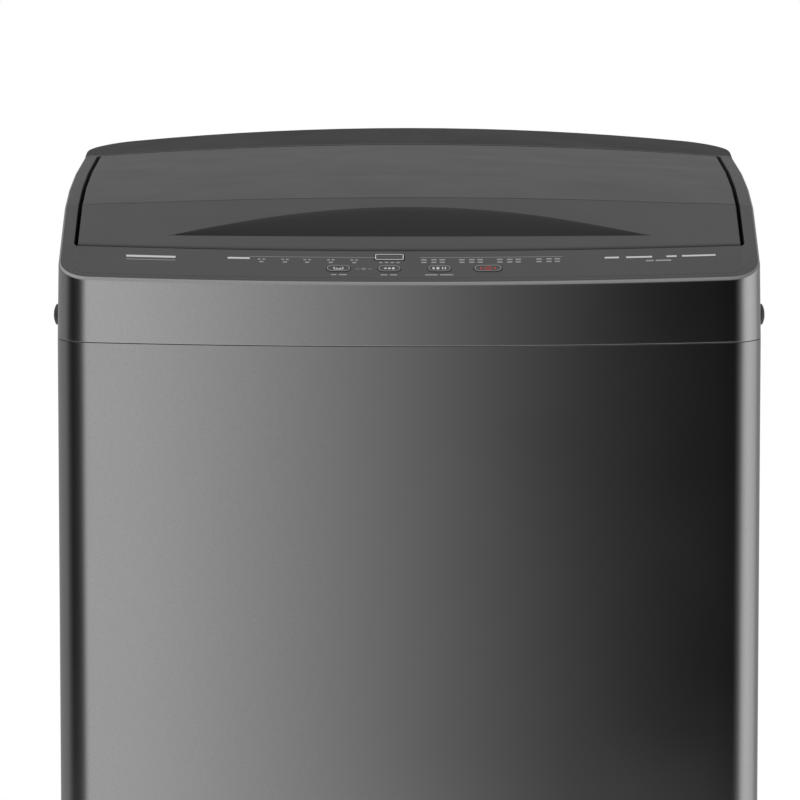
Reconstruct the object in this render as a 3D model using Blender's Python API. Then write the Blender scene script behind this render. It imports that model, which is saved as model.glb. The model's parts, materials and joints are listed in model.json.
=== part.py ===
"""A top load washing machine, modelled as the assembly that it is.

Metres, +Z up. The origin is on the floor under the middle of the cabinet. The front faces -Y and +X is to the
right of someone who stands in front. The top of the machine is one crowned surface, and the pieces on it (the
cover, the fascia, the lid and the rear console) are all cut from that surface, given by top_point().
"""

import math

import bpy
import bmesh
from mathutils import Matrix, Vector

# ---- driving dimensions -------------------------------------------------------------------------------
WIDTH = 0.540  # cabinet, side to side
DEPTH = 0.560  # cabinet, front to back
SEAM_Z = 0.833  # where the steel cabinet ends and the plastic top cover starts
GAP = 0.0003  # between pieces that touch
BOW_RADIUS = 1.289  # the front is a shallow arc in plan
CORNER_RADIUS = 0.030  # front corners of the cabinet, in plan
REAR_CORNER_RADIUS = 0.040  # rear corners of the cabinet and of the cover, in plan
REAR_FLANGE = 0.012  # width of the flange that the cabinet turns in behind, past its corner
SHEET = 0.0012  # cabinet steel with its paint
BASE_TOP_Z = 0.062  # underside of the floor that the cabinet stands round
SKIRT_Z = 0.030  # lowest edge of the base frame's skirt

# crowned top: depth from the front, height above the seam, and fall at CROWN_SPAN from the middle
GAP_LINE = 0.0505  # depth of the lid's front edge
CREASE = 0.1270  # depth of the crease across the lid
LID_REAR = DEPTH - 0.0850  # depth of the lid's rear edge
LID_RISE = CREASE + 0.21 * (LID_REAR - CREASE)  # depth where the lid's steep rise behind the crease ends
LID_PEAK = CREASE + 0.52 * (LID_REAR - CREASE)  # depth of the lid's highest line
CROWN_SPAN = 0.250
TOP_KNOTS = (
    (0.0000, 0.0484, -0.0012),
    (GAP_LINE, 0.0685, -0.0012),
    (CREASE, 0.1006, 0.0087),
    (LID_RISE, 0.1072, 0.0089),
    (LID_PEAK, 0.1090, 0.0090),
    (LID_REAR, 0.1056, 0.0091),
    (DEPTH, 0.1118, 0.0130),
)
LID_HALF = WIDTH / 2 - 0.0148
LID_SIDE_GAP = 0.0028
LID_FRONT_GAP = 0.0025
LID_REAR_GAP = 0.0034

# top cover
COVER_WALL = 0.0028
COVER_DRAFT = 0.0010  # how far the cover's side leans in by its shoulder
SHOULDER = 0.0030
LEDGE_FRONT_Z = SEAM_Z + 0.033  # the ledge round the mouth, under the lid
LEDGE_REAR_Z = SEAM_Z + 0.057
MOUTH_HALF = WIDTH / 2 - 0.064
MOUTH_FRONT_Y = 0.090 - DEPTH / 2
MOUTH_REAR_Y = DEPTH / 2 - 0.128
MOUTH_RADIUS = 0.100
MOUTH_Z = SEAM_Z - 0.027  # lowest edge of the mouth
CAP_DEPTH = 0.075  # depth of the screw caps on the cover's sides
CONSOLE_Z = SEAM_Z + 0.029  # the rear console starts here
CONSOLE_Y = LID_REAR - DEPTH / 2 + 0.0060

# lid
LID_SKIN = 0.0025
LID_EDGE_FRONT = 0.0240  # height of the lid's skirt, front zone
LID_EDGE_REAR = 0.0150  # and behind it
LINER = 0.0020
HINGE_Y = DEPTH / 2 - 0.112
HINGE_Z = SEAM_Z + 0.092
HINGE_X = 0.160
PIN_RADIUS = 0.0030
POST_WIDTH = 0.0120
HANDLE_HALF = 0.185
HANDLE_FRONT = GAP_LINE + 0.0180
HANDLE_LENGTH = 0.0440
HANDLE_DEEP = 0.0160

# fascia, buttons and display
FASCIA_HALF = LID_HALF + 0.0008
FASCIA_FRONT = 0.0075
FASCIA_REAR = GAP_LINE - LID_FRONT_GAP - 0.0030
FASCIA_THICK = 0.0013
FASCIA_RADIUS = 0.010
KEY_DEPTH = 0.0208
KEYS = {
    "program_button": (-0.0540, 0.0185),
    "water_level_button": (-0.0152, 0.0175),
    "start_button": (0.0230, 0.0178),
    "power_button": (0.0600, 0.0213),
}
KEY_HEIGHT = 0.0096
KEY_GAP = 0.0004
KEY_TRAVEL = 0.0010
DISPLAY_X, DISPLAY_DEPTH = -0.0152, 0.0380
DISPLAY_SIZE = (0.0230, 0.0104)

# wash unit: everything that hangs on the four suspension rods
TUB_Y = -0.010
TUB_RADIUS = 0.236
TUB_WALL = 0.0030
TUB_FLOOR_Z = 0.262
TUB_TOP_Z = SEAM_Z - 0.071
BASKET_RADIUS = TUB_RADIUS - 0.022
BASKET_SHEET = 0.0010
BASKET_FLOOR_Z = 0.300
BASKET_TOP_Z = TUB_TOP_Z - 0.057
BALANCE_INNER = BASKET_RADIUS - 0.034
BALANCE_HEIGHT = 0.052
PULSATOR_RADIUS = BASKET_RADIUS - 0.046
PULSATOR_Z = 0.334
SHAFT_RADIUS = 0.0075
SPIN_TUBE = 0.0125
PLATE_Z = 0.244  # mounting plate, top face
PLATE_THICK = 0.0025
PULLEY_Z = 0.126  # middle plane of the belt drive
CLUTCH_PULLEY_RADIUS = 0.0800
MOTOR_PULLEY_RADIUS = 0.0225
BELT_GAP = 0.0011  # the belt's inner face stands this far out of the pulleys' pitch radius
MOTOR_X, MOTOR_Y = 0.118, 0.088
MOTOR_RADIUS = 0.062
ROD_X = WIDTH / 2 - 0.057  # the four suspension rods stand in the cabinet's corners
ROD_Y = DEPTH / 2 - 0.067  # counted from the tub's axis
ROD_RADIUS = 0.0035
ROD_TOP_Z = SEAM_Z - 0.041
ROD_FOOT_Z = 0.168
LUG_Z = 0.306  # underside of the tub's lugs, where the springs push
SPRING_RADIUS = 0.0125
SPRING_WIRE = 0.0015
SPRING_TURNS = 5
SPRING_STEPS = 8

# feet
FOOT_X, FOOT_Y = WIDTH / 2 - 0.048, DEPTH / 2 - 0.058
FOOT_RADIUS = 0.021
STUD_RADIUS = 0.0050

# dispenser
DRAWER_X = -0.105
DRAWER_WIDTH = 0.140
DRAWER_HEIGHT = 0.034
DRAWER_LENGTH = 0.088
DRAWER_Z = SEAM_Z + 0.005

# rear fittings
PANEL_SINK = 0.0040  # the back panel's field lies this far behind its edge
INLET_X, INLET_Z = 0.150, SEAM_Z + 0.063
INLET_RADIUS = 0.0132  # a three quarter inch hose thread
DRAIN_X, DRAIN_Z = -0.160, 0.150
GLAND_X, GLAND_Z = 0.160, SEAM_Z - 0.093

RING_SEGMENTS = 30


# ---- scene and material helpers -----------------------------------------------------------------------
def clear_scene():
    for obj in list(bpy.data.objects):
        bpy.data.objects.remove(obj)


def material(name, colour, roughness, metallic=0.0):
    made = bpy.data.materials.get(name)
    if made:
        return made
    made = bpy.data.materials.new(name)
    made.use_nodes = True
    shader = made.node_tree.nodes["Principled BSDF"]
    shader.inputs["Base Color"].default_value = (*colour, 1.0)
    shader.inputs["Roughness"].default_value = roughness
    shader.inputs["Metallic"].default_value = metallic
    return made


def steel_paint():
    return material("painted_steel", (0.105, 0.107, 0.110), 0.32, 0.75)


def cover_paint():
    return material("painted_cover", (0.110, 0.111, 0.113), 0.34, 0.6)


def lid_plastic():
    return material("lid_plastic", (0.100, 0.100, 0.101), 0.45)


def dark_plastic():
    return material("dark_plastic", (0.030, 0.030, 0.031), 0.5)


def white_plastic():
    return material("tub_plastic", (0.74, 0.75, 0.76), 0.42)


def grey_plastic():
    return material("grey_plastic", (0.40, 0.41, 0.42), 0.45)


def stainless():
    return material("stainless_steel", (0.62, 0.62, 0.63), 0.25, 1.0)


def zinc():
    return material("zinc_steel", (0.50, 0.51, 0.52), 0.38, 1.0)


def rubber():
    return material("black_rubber", (0.025, 0.025, 0.025), 0.75)


def copper_board():
    return material("circuit_board", (0.05, 0.16, 0.08), 0.5)


def smoked():
    return material("smoked_window", (0.012, 0.012, 0.014), 0.08)


def finish(mesh, name, look):
    """An object for this mesh, with normals made to face out, round faces smooth and its own material."""
    shape = bmesh.new()
    shape.from_mesh(mesh)
    bmesh.ops.recalc_face_normals(shape, faces=shape.faces)
    shape.to_mesh(mesh)
    shape.free()
    mesh.shade_smooth()
    mesh.set_sharp_from_angle(angle=math.radians(32))
    mesh.materials.append(look)
    obj = bpy.data.objects.new(name, mesh)
    bpy.context.scene.collection.objects.link(obj)
    return obj


def solid(name, points, faces, look):
    mesh = bpy.data.meshes.new(name)
    mesh.from_pydata([tuple(p) for p in points], [], faces)
    return finish(mesh, name, look)


def place(obj, at=(0, 0, 0), turn=(0, 0, 0)):
    obj.location = at
    obj.rotation_euler = turn
    return obj


def helper(obj):
    """A cutter or a shape that another object takes in: no piece of the machine by itself."""
    obj.hide_render = True
    obj.display_type = "WIRE"
    return obj


def boolean(obj, other, operation):
    modifier = obj.modifiers.new(operation.lower() + "_" + other.name, "BOOLEAN")
    modifier.operation = operation
    modifier.solver = "EXACT"
    modifier.object = helper(other)
    return obj


def cut(obj, other):
    return boolean(obj, other, "DIFFERENCE")


def join(obj, other):
    return boolean(obj, other, "UNION")


# ---- shape helpers ------------------------------------------------------------------------------------
def loft(name, loops, look, closed=False):
    """Skins loops of equally many points. A closed loft has no ends; the others are capped."""
    count = len(loops[0])
    points = [p for loop in loops for p in loop]
    faces = []
    steps = len(loops) if closed else len(loops) - 1
    for k in range(steps):
        a, b = k * count, (k + 1) % len(loops) * count
        for i in range(count):
            j = (i + 1) % count
            faces.append((a + i, a + j, b + j, b + i))
    if not closed:
        faces.append(tuple(range(count)))
        faces.append(tuple(range((len(loops) - 1) * count, len(loops) * count)))
    return solid(name, points, faces, look)


def turned(name, profile, look, segments=RING_SEGMENTS, at=(0, 0, 0), turn=(0, 0, 0)):
    """A closed profile of (radius, z) turned round Z. Points at radius 0 become one point each."""
    points, faces, rows = [], [], []
    for radius, z in profile:
        if radius < 1e-6:
            rows.append([len(points)] * segments)
            points.append((0, 0, z))
            continue
        rows.append(list(range(len(points), len(points) + segments)))
        for k in range(segments):
            angle = 2 * math.pi * k / segments
            points.append((radius * math.cos(angle), radius * math.sin(angle), z))
    for a, b in zip(rows, rows[1:] + rows[:1]):
        for k in range(segments):
            face = [a[k], a[(k + 1) % segments], b[(k + 1) % segments], b[k]]
            corners = [c for n, c in enumerate(face) if c not in face[:n]]
            if len(corners) > 2:
                faces.append(tuple(corners))
    return place(solid(name, points, faces, look), at, turn)


def cylinder(name, radius, low, high, look, segments=16, at=(0, 0, 0), turn=(0, 0, 0)):
    profile = [(0, low), (radius, low), (radius, high), (0, high)]
    return turned(name, profile, look, segments, at, turn)


def block(name, low, high, look):
    points = [(x, y, z) for z in (low[2], high[2]) for x, y in
              ((low[0], low[1]), (high[0], low[1]), (high[0], high[1]), (low[0], high[1]))]
    return loft(name, [points[:4], points[4:]], look)


def rounded_rectangle(width, height, radius, corner=3):
    """Points of a rounded rectangle in a plane, counter-clockwise."""
    points = []
    for quarter in range(4):
        across = (width / 2 - radius) * (1 if quarter in (0, 3) else -1)
        up = (height / 2 - radius) * (1 if quarter in (0, 1) else -1)
        for k in range(corner + 1):
            angle = math.pi / 2 * (quarter + k / corner)
            points.append((across + radius * math.cos(angle), up + radius * math.sin(angle)))
    return points


def tube(name, route, radius, look, resolution=2):
    """A round bar or hose along a list of points."""
    curve = bpy.data.curves.new(name, "CURVE")
    curve.dimensions = "3D"
    curve.bevel_depth = radius
    curve.bevel_resolution = resolution
    curve.use_fill_caps = True
    spline = curve.splines.new("POLY")
    spline.points.add(len(route) - 1)
    for point, where in zip(spline.points, route):
        point.co = (*where, 1.0)
    curve.materials.append(look)
    obj = bpy.data.objects.new(name, curve)
    bpy.context.scene.collection.objects.link(obj)
    return obj


# ---- the crowned top and the plan outline -------------------------------------------------------------
def bow(x):
    """How far the bowed front lies behind its middle at this x."""
    return BOW_RADIUS - math.sqrt(BOW_RADIUS**2 - x * x)


def knot_value(depth, column):
    depth = min(max(depth, TOP_KNOTS[0][0]), TOP_KNOTS[-1][0])
    for before, after in zip(TOP_KNOTS, TOP_KNOTS[1:]):
        if depth <= after[0]:
            share = (depth - before[0]) / (after[0] - before[0])
            return before[column] + share * (after[column] - before[column])
    return TOP_KNOTS[-1][column]


def bow_share(depth):
    """Lines across the top follow the bow up to the crease, and are straight by the lid's rear edge."""
    return min(max((LID_REAR - depth) / (LID_REAR - CREASE), 0), 1)


def top_point(x, depth, drop=0.0):
    """The point of the crowned top at this x and this depth behind the front, lowered by drop."""
    y = depth - DEPTH / 2 + bow(x) * bow_share(depth)
    z = SEAM_Z + knot_value(depth, 1) - knot_value(depth, 2) * (x / CROWN_SPAN) ** 2
    return Vector((x, y, z - drop))


def top_z(x, y):
    """Height of the crowned top over a point of the plan."""
    depth = y + DEPTH / 2
    for _ in range(6):
        depth = y + DEPTH / 2 - bow(x) * bow_share(depth)
    return top_point(x, depth).z


def spread(low, high, parts):
    return [low + (high - low) * k / parts for k in range(parts + 1)]


def outline(half, front, back, front_radius, rear_radius, inset=0.0, counts=(12, 4, 4), stations=()):
    """Plan outline with a bowed front, counter-clockwise from above. Stations are y values to put points at."""
    across, corner, rear = counts
    half, front, back = half - inset, front + inset, back - inset
    r, rr = max(front_radius - inset, 0.001), max(rear_radius - inset, 0.001)
    big = BOW_RADIUS - inset
    middle = half - r
    angle = math.asin(middle / (big - r))
    centre_y = front + big - math.sqrt((big - r) ** 2 - middle**2)
    right = [
        (middle + r * math.sin(a), centre_y - r * math.cos(a))
        for a in spread(angle, math.pi / 2, corner)
    ]
    right += [(half, y) for y in stations]
    right += [
        (half - rr + rr * math.cos(a), back - rr + rr * math.sin(a))
        for a in spread(0, math.pi / 2, corner)
    ]
    front_arc = [
        (big * math.sin(a), front + big - big * math.cos(a))
        for a in spread(-angle, angle, across)[1:-1]
    ]
    rear_line = [(x, back) for x in spread(half - rr, rr - half, rear)[1:-1]]
    left = [(-x, y) for x, y in reversed(right)]
    return front_arc + right + rear_line + left


def front_corner_y():
    """Where the straight side ends and the rounded front corner starts."""
    middle = WIDTH / 2 - CORNER_RADIUS
    return BOW_RADIUS - DEPTH / 2 - math.sqrt((BOW_RADIUS - CORNER_RADIUS) ** 2 - middle**2)


def cabinet_outline(inset=0.0):
    return outline(WIDTH / 2, -DEPTH / 2, DEPTH / 2, CORNER_RADIUS, REAR_CORNER_RADIUS, inset)


def slab(name, xs, low, high, rows, top, bottom, look):
    """A plate that follows the crowned top. low and high give its depth range, top and bottom its drops."""
    def points_at(x, drop):
        return [top_point(x, d, drop(d)) for d in spread(low(x), high(x), rows)]

    loops = [points_at(x, top) + points_at(x, bottom)[::-1] for x in xs]
    return loft(name, loops, look)


def lens_rear(x):
    return HANDLE_FRONT + HANDLE_LENGTH * (1 - (x / HANDLE_HALF) ** 2)


# ---- cabinet, base and feet ---------------------------------------------------------------------------
def build_cabinet():
    """A steel wrap: front and sides in one sheet, turned in behind as two flanges, open at the back."""
    flange_x = WIDTH / 2 - REAR_CORNER_RADIUS - REAR_FLANGE
    outer = [p for p in cabinet_outline() if not (p[1] > DEPTH / 2 - 1e-6 and abs(p[0]) < flange_x)]
    start = max(range(len(outer)),
        key=lambda k: outer[k][1] - abs(outer[k][0]) * 1e-3 if outer[k][0] < 0 else -9)
    outer = outer[start:] + outer[:start]
    inside_y = DEPTH / 2 - SHEET - 1e-6
    inner = [p for p in cabinet_outline(SHEET) if not (p[1] > inside_y and abs(p[0]) < flange_x)]
    inner = inner[start:] + inner[:start]
    low, high = SKIRT_Z + 0.020, SEAM_Z - GAP
    flange = [(-flange_x, DEPTH / 2)], [(-flange_x, DEPTH / 2 - SHEET)]
    other = [(flange_x, DEPTH / 2)], [(flange_x, DEPTH / 2 - SHEET)]
    outer = flange[0] + outer + other[0]
    inner = flange[1] + inner + other[1]
    loops = [
        [(*o, low), (*o, high), (*i, high), (*i, low)] for o, i in zip(outer, inner)
    ]
    return loft("cabinet", loops, steel_paint())


def build_back_panel():
    """Service panel behind, with a sunken field and the openings for the drain outlet and the cord gland."""
    half, thick, rise = WIDTH / 2 - REAR_CORNER_RADIUS - 0.002, 0.0015, -PANEL_SINK
    low, high = BASE_TOP_Z + 0.002, SEAM_Z - 0.002
    middle_z = (low + high) / 2
    inside = DEPTH / 2 - SHEET - GAP
    rings = ((0.0, 0.0), (0.034, 0.0), (0.040, rise))
    loops = []
    for side, order in ((0.0, 1), (-thick, -1)):
        for margin, out in rings[::order]:
            shape = rounded_rectangle(2 * (half - margin * 0.8), high - low - 2 * margin, 0.008, 2)
            loops.append([(x, inside + side + out, z + middle_z) for x, z in shape])
    return loft("back_panel", loops[:3][::-1] + loops[3:][::-1], zinc())


def build_base():
    """Moulded base: a skirt under the cabinet and a wide deck that carries the feet."""
    inset = SHEET + GAP
    sections = (
        (0.0, SKIRT_Z),
        (0.0, SKIRT_Z + 0.020 - GAP),
        (inset, SKIRT_Z + 0.020 - GAP),
        (inset, BASE_TOP_Z),
        (0.110, BASE_TOP_Z),
        (0.110, BASE_TOP_Z - 0.016),
        (0.104, BASE_TOP_Z - 0.016),
        (0.104, BASE_TOP_Z - 0.004),
        (inset + 0.004, BASE_TOP_Z - 0.004),
        (inset + 0.004, SKIRT_Z),
    )

    def ring(inset, z):
        radius = max(CORNER_RADIUS, inset + 0.030)
        rear = max(REAR_CORNER_RADIUS, inset + 0.030)
        return [(x, y, z) for x, y in outline(WIDTH / 2, -DEPTH / 2, DEPTH / 2, radius, rear, inset, (8, 4, 2))]

    base = loft("base_frame", [ring(i, z) for i, z in sections], dark_plastic(), closed=True)
    for x in (-FOOT_X, FOOT_X):
        for y in (-FOOT_Y, FOOT_Y):
            hole = cylinder(f"foot_hole_{x}_{y}", STUD_RADIUS + 0.0008, SKIRT_Z, BASE_TOP_Z + 0.01, rubber(),
                12, (x, y, 0))
            cut(base, hole)
    return base


def build_foot(name, x, y):
    """A rubber pad on a threaded stud with its lock nut."""
    pad_top = BASE_TOP_Z - 0.004 - 0.0006
    profile = [
        (0, 0), (FOOT_RADIUS, 0), (FOOT_RADIUS, 0.007), (0.013, 0.012), (0.013, pad_top),
        (STUD_RADIUS, pad_top),
        (STUD_RADIUS, BASE_TOP_Z + 0.022), (0, BASE_TOP_Z + 0.022),
    ]
    return turned(name, profile, rubber(), 12, (x, y, 0))


# ---- top cover, console, fascia -----------------------------------------------------------------------
def ledge_z(y):
    share = (y + DEPTH / 2) / DEPTH
    return LEDGE_FRONT_Z + (LEDGE_REAR_Z - LEDGE_FRONT_Z) * share


def cover_loops():
    """The cover is one closed section carried round: outer wall, shoulder, rail, lid wall, ledge and mouth."""
    rail_half = LID_HALF + LID_SIDE_GAP
    rail_front = GAP_LINE - LID_FRONT_GAP - DEPTH / 2
    rail_back = LID_REAR + LID_REAR_GAP - DEPTH / 2

    crease_y, rise_y, peak_y = (top_point(LID_HALF, d).y for d in (CREASE, LID_RISE, LID_PEAK))

    def outer(inset, radius=CORNER_RADIUS):
        return outline(WIDTH / 2, -DEPTH / 2, DEPTH / 2, radius, REAR_CORNER_RADIUS, inset,
                       stations=(crease_y, rise_y, peak_y, rail_back))

    def rail(inset):
        return outline(rail_half, rail_front, rail_back, 0.006, 0.006, -inset,
            stations=(crease_y, rise_y, peak_y, rail_back - 0.012))

    def mouth(inset):
        return outline(MOUTH_HALF, MOUTH_FRONT_Y, MOUTH_REAR_Y, MOUTH_RADIUS, 0.030, -inset,
                       stations=spread(MOUTH_FRONT_Y + 0.145, MOUTH_REAR_Y - 0.060, 3))

    def at_surface(points, drop):
        return [(x, y, top_z(x, y) - drop) for x, y in points]

    def at_ledge(points, drop):
        return [(x, y, ledge_z(y) - drop) for x, y in points]

    def flat(points, z):
        return [(x, y, z) for x, y in points]

    wall, draft = COVER_WALL, COVER_DRAFT
    return [
        flat(outer(0), SEAM_Z),
        at_surface(outer(draft), SHOULDER),
        at_surface(outer(draft + 0.3 * SHOULDER), 0.3 * SHOULDER),
        at_surface(outer(draft + SHOULDER), 0),
        at_surface(rail(0), 0),
        at_ledge(rail(0), 0),
        at_ledge(mouth(0.006), 0),
        at_ledge(mouth(0), 0.006),
        flat(mouth(-0.004), MOUTH_Z),
        flat(mouth(wall - 0.004), MOUTH_Z),
        at_ledge(mouth(wall + 0.001), wall + 0.004),
        at_ledge(rail(wall), wall),
        at_surface(rail(wall), wall),
        at_surface(outer(draft + SHOULDER), wall),
        at_surface(outer(draft + wall), SHOULDER),
        flat(outer(wall), SEAM_Z),
    ]


def rear_box(name, clearance):
    """The space of the rear console, larger by the clearance on the sides where it meets the cover."""
    low = (-WIDTH, CONSOLE_Y - clearance, CONSOLE_Z - clearance)
    return block(name, low, (WIDTH, DEPTH, 1.2), dark_plastic())


def panel_matrix(x, depth):
    """Local axes on the front panel: X across, Y up the slope and Z out of the face."""
    here, across = top_point(x, depth), (top_point(x + 0.002, depth) - top_point(x - 0.002, depth)).normalized()
    slope = (top_point(x, depth + 0.002) - top_point(x, depth - 0.002)).normalized()
    out = across.cross(slope).normalized()
    slope = out.cross(across)
    return Matrix((
        (across.x, slope.x, out.x, here.x),
        (across.y, slope.y, out.y, here.y),
        (across.z, slope.z, out.z, here.z),
        (0, 0, 0, 1),
    ))


def on_panel(obj, x, depth):
    obj.matrix_world = panel_matrix(x, depth)
    return obj


def flat_loops(layers):
    """Loops for a loft of rounded rectangles: each layer is width, height, corner radius and z."""
    return [[(x, y, z) for x, y in rounded_rectangle(w, h, r)] for w, h, r, z in layers]


def fascia_low(x):
    beyond = max(abs(x) - (FASCIA_HALF - FASCIA_RADIUS), 0)
    return FASCIA_FRONT + FASCIA_RADIUS - math.sqrt(FASCIA_RADIUS**2 - min(beyond, FASCIA_RADIUS) ** 2)


def fascia_shape(name, grow, top, bottom):
    half = FASCIA_HALF + grow
    bend = FASCIA_HALF - FASCIA_RADIUS
    ends = [bend + FASCIA_RADIUS * s for s in (0.35, 0.65, 0.85)]
    xs = [-half] + [-e for e in ends[::-1]] + spread(-bend, bend, 12) + ends + [half]
    low = lambda x: fascia_low(min(max(x, -FASCIA_HALF), FASCIA_HALF) * 0.9995) - grow
    return slab(name, xs, low, lambda x: FASCIA_REAR + grow, 1, lambda d: top, lambda d: bottom, dark_plastic())


def key_cutter(name, x, depth, width, height, radius, low=-0.030):
    return on_panel(loft(name, flat_loops([(width, height, radius, low), (width, height, radius, 0.01)]),
        rubber()), x, depth)


def build_top():
    cover = loft("top_cover", cover_loops(), cover_paint(), closed=True)
    console = loft("rear_console", cover_loops(), lid_plastic(), closed=True)
    cut(cover, rear_box("console_space", 0.0))
    boolean(console, rear_box("console_bounds", -GAP), "INTERSECT")
    cut(cover, fascia_shape("fascia_pocket", GAP, -0.010, FASCIA_THICK + GAP))
    window_width = KEYS["power_button"][0] - KEYS["program_button"][0] + 0.034
    window_x = (KEYS["power_button"][0] + KEYS["program_button"][0]) / 2
    cut(cover, key_cutter("key_window", window_x, 0.0285, window_width, 0.029, 0.003, -0.0120))
    cut(cover, block("drawer_window",
                     (DRAWER_X - DRAWER_WIDTH / 2 - 0.001, MOUTH_REAR_Y - 0.020, DRAWER_Z - 0.001),
                     (DRAWER_X + DRAWER_WIDTH / 2 + 0.001, MOUTH_REAR_Y + 0.020,
                     DRAWER_Z + DRAWER_HEIGHT + 0.001),
                     rubber()))
    cut(console, block("inlet_window", (INLET_X - 0.024, DEPTH / 2 - 0.020, INLET_Z - 0.020),
                       (INLET_X + 0.024, DEPTH / 2 + 0.020, INLET_Z + 0.020), rubber()))
    return cover, console


def build_fascia():
    fascia = fascia_shape("control_fascia", 0.0, 0.0, FASCIA_THICK)
    for name, (x, width) in KEYS.items():
        cut(fascia,
            key_cutter(name + "_hole", x, KEY_DEPTH, width + 2 * KEY_GAP, KEY_HEIGHT + 2 * KEY_GAP,
            KEY_HEIGHT / 2))
    width, height = DISPLAY_SIZE
    cut(fascia, key_cutter("display_hole", DISPLAY_X, DISPLAY_DEPTH, width + 2 * GAP, height + 2 * GAP, 0.0022))
    window = loft("display_window", flat_loops([
        (width - 0.001, height - 0.001, 0.0015, 0.0004), (width, height, 0.002, 0.0001),
        (width, height, 0.002, -FASCIA_THICK),
    ]), smoked())
    on_panel(window, DISPLAY_X, DISPLAY_DEPTH)
    for name, (x, width) in KEYS.items():
        build_key(name, x, width)
    board = loft("control_board", flat_loops([(0.170, 0.027, 0.002, -0.0112), (0.170, 0.027, 0.002, -0.0096)]),
        copper_board())
    on_panel(board, (KEYS["power_button"][0] + KEYS["program_button"][0]) / 2, 0.0285)


def build_key(name, x, width):
    """A push key: a pill cap that stands just proud of the fascia, on a slimmer stem."""
    height = KEY_HEIGHT
    key = loft(name, flat_loops([
        (width - 0.0012, height - 0.0012, height / 2 - 0.0007, 0.0007),
        (width, height, height / 2 - 0.0001, 0.0002),
        (width, height, height / 2 - 0.0001, -0.0030),
        (width * 0.5, height * 0.5, height / 4 - 0.0001, -0.0030),
        (width * 0.5, height * 0.5, height / 4 - 0.0001, -0.0066),
    ]), dark_plastic())
    return on_panel(key, x, KEY_DEPTH)


def build_side_caps():
    """Domed plugs over the screws that hold the cover to the cabinet, one on each side."""
    y, up = CAP_DEPTH - DEPTH / 2, 0.015
    rise = top_z(WIDTH / 2 - COVER_DRAFT, y) - SHOULDER - SEAM_Z
    lean, tilt = COVER_DRAFT * up / rise, math.atan(COVER_DRAFT / rise)
    for name, side in (("left_screw_cap", -1), ("right_screw_cap", 1)):
        profile = [(0, GAP + 0.0001), (0.0085, GAP + 0.0001), (0.0080, 0.0022), (0.0055, 0.0036), (0, 0.0042)]
        cap = turned(name, profile, cover_paint(), 16)
        place(cap, (side * (WIDTH / 2 - lean), y, SEAM_Z + up), (0, side * (math.pi / 2 - tilt), 0))


# ---- lid ----------------------------------------------------------------------------------------------
def edge_drop(depth):
    """Height of the lid's skirt at this depth: deep in the handle zone, slim behind it."""
    share = min(max((depth - CREASE) / 0.035, 0), 1)
    return LID_EDGE_FRONT + (LID_EDGE_REAR - LID_EDGE_FRONT) * share


def tray(name, xs, depths, skin, rim, look):
    """An upside-down tray on the crowned top: skin above, and a skirt of rim thickness all round."""
    def inner(values):
        low, high = values[0], values[-1]
        return [min(max(v, low + rim), high - rim) if v in (low, high) else v for v in values]

    grids = [(xs, depths, lambda d: 0.0), (inner(xs), inner(depths), lambda d: skin)]
    points, across, along = [], len(xs), len(depths)
    for gx, gd, drop in grids:
        points += [top_point(x, d, drop(d)) for x in gx for d in gd]
    size = across * along
    edge = [i * along for i in range(across)] + [(across - 1) * along + j for j in range(1, along)]
    edge += [i * along + along - 1 for i in range(across - 2, -1, -1)] + list(range(along - 2, 0, -1))
    low_outer = len(points)
    points += [top_point(xs[e // along], depths[e % along], edge_drop(depths[e % along])) for e in edge]
    low_inner = len(points)
    gx, gd = inner(xs), inner(depths)
    points += [top_point(gx[e // along], gd[e % along], edge_drop(gd[e % along])) for e in edge]
    faces = []
    for i in range(across - 1):
        for j in range(along - 1):
            a = i * along + j
            quad = (a, a + along, a + along + 1, a + 1)
            faces += [quad, tuple(size + v for v in quad[::-1])]
    for k in range(len(edge)):
        n = (k + 1) % len(edge)
        faces.append((edge[k], edge[n], low_outer + n, low_outer + k))
        faces.append((low_outer + k, low_outer + n, low_inner + n, low_inner + k))
        faces.append((low_inner + k, low_inner + n, size + edge[n], size + edge[k]))
    return solid(name, points, faces, look)


def build_lid():
    depths = [GAP_LINE, CREASE - 0.006, CREASE, CREASE + 0.035, LID_RISE, 0.25, LID_PEAK, 0.39, LID_REAR]
    shell = tray("lid_shell", spread(-LID_HALF, LID_HALF, 12), depths, LID_SKIN, LID_SKIN, lid_plastic())
    tip = 0.985 * HANDLE_HALF
    lens = slab("handle_opening", spread(-tip, tip, 16), lambda x: HANDLE_FRONT, lens_rear, 1,
                lambda d: -0.02, lambda d: LID_SKIN + 0.001, rubber())
    cut(shell, lens)
    build_handle_cup()
    inset = LID_SKIN + GAP
    liner_depths = [GAP_LINE + inset, CREASE, CREASE + 0.035, LID_RISE, LID_PEAK, LID_REAR - inset]
    half = LID_HALF - inset
    columns = []
    for x in spread(-half, half, 8):
        top = [top_point(x, d, edge_drop(d) - LINER - GAP) for d in liner_depths]
        low = [top_point(x, d, edge_drop(d) - GAP) for d in liner_depths]
        columns.append(top + low[::-1])
    liner = loft("lid_liner", columns, grey_plastic())
    for side, label in ((-1, "left"), (1, "right")):
        build_hinge(shell, liner, side * HINGE_X, label)


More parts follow.
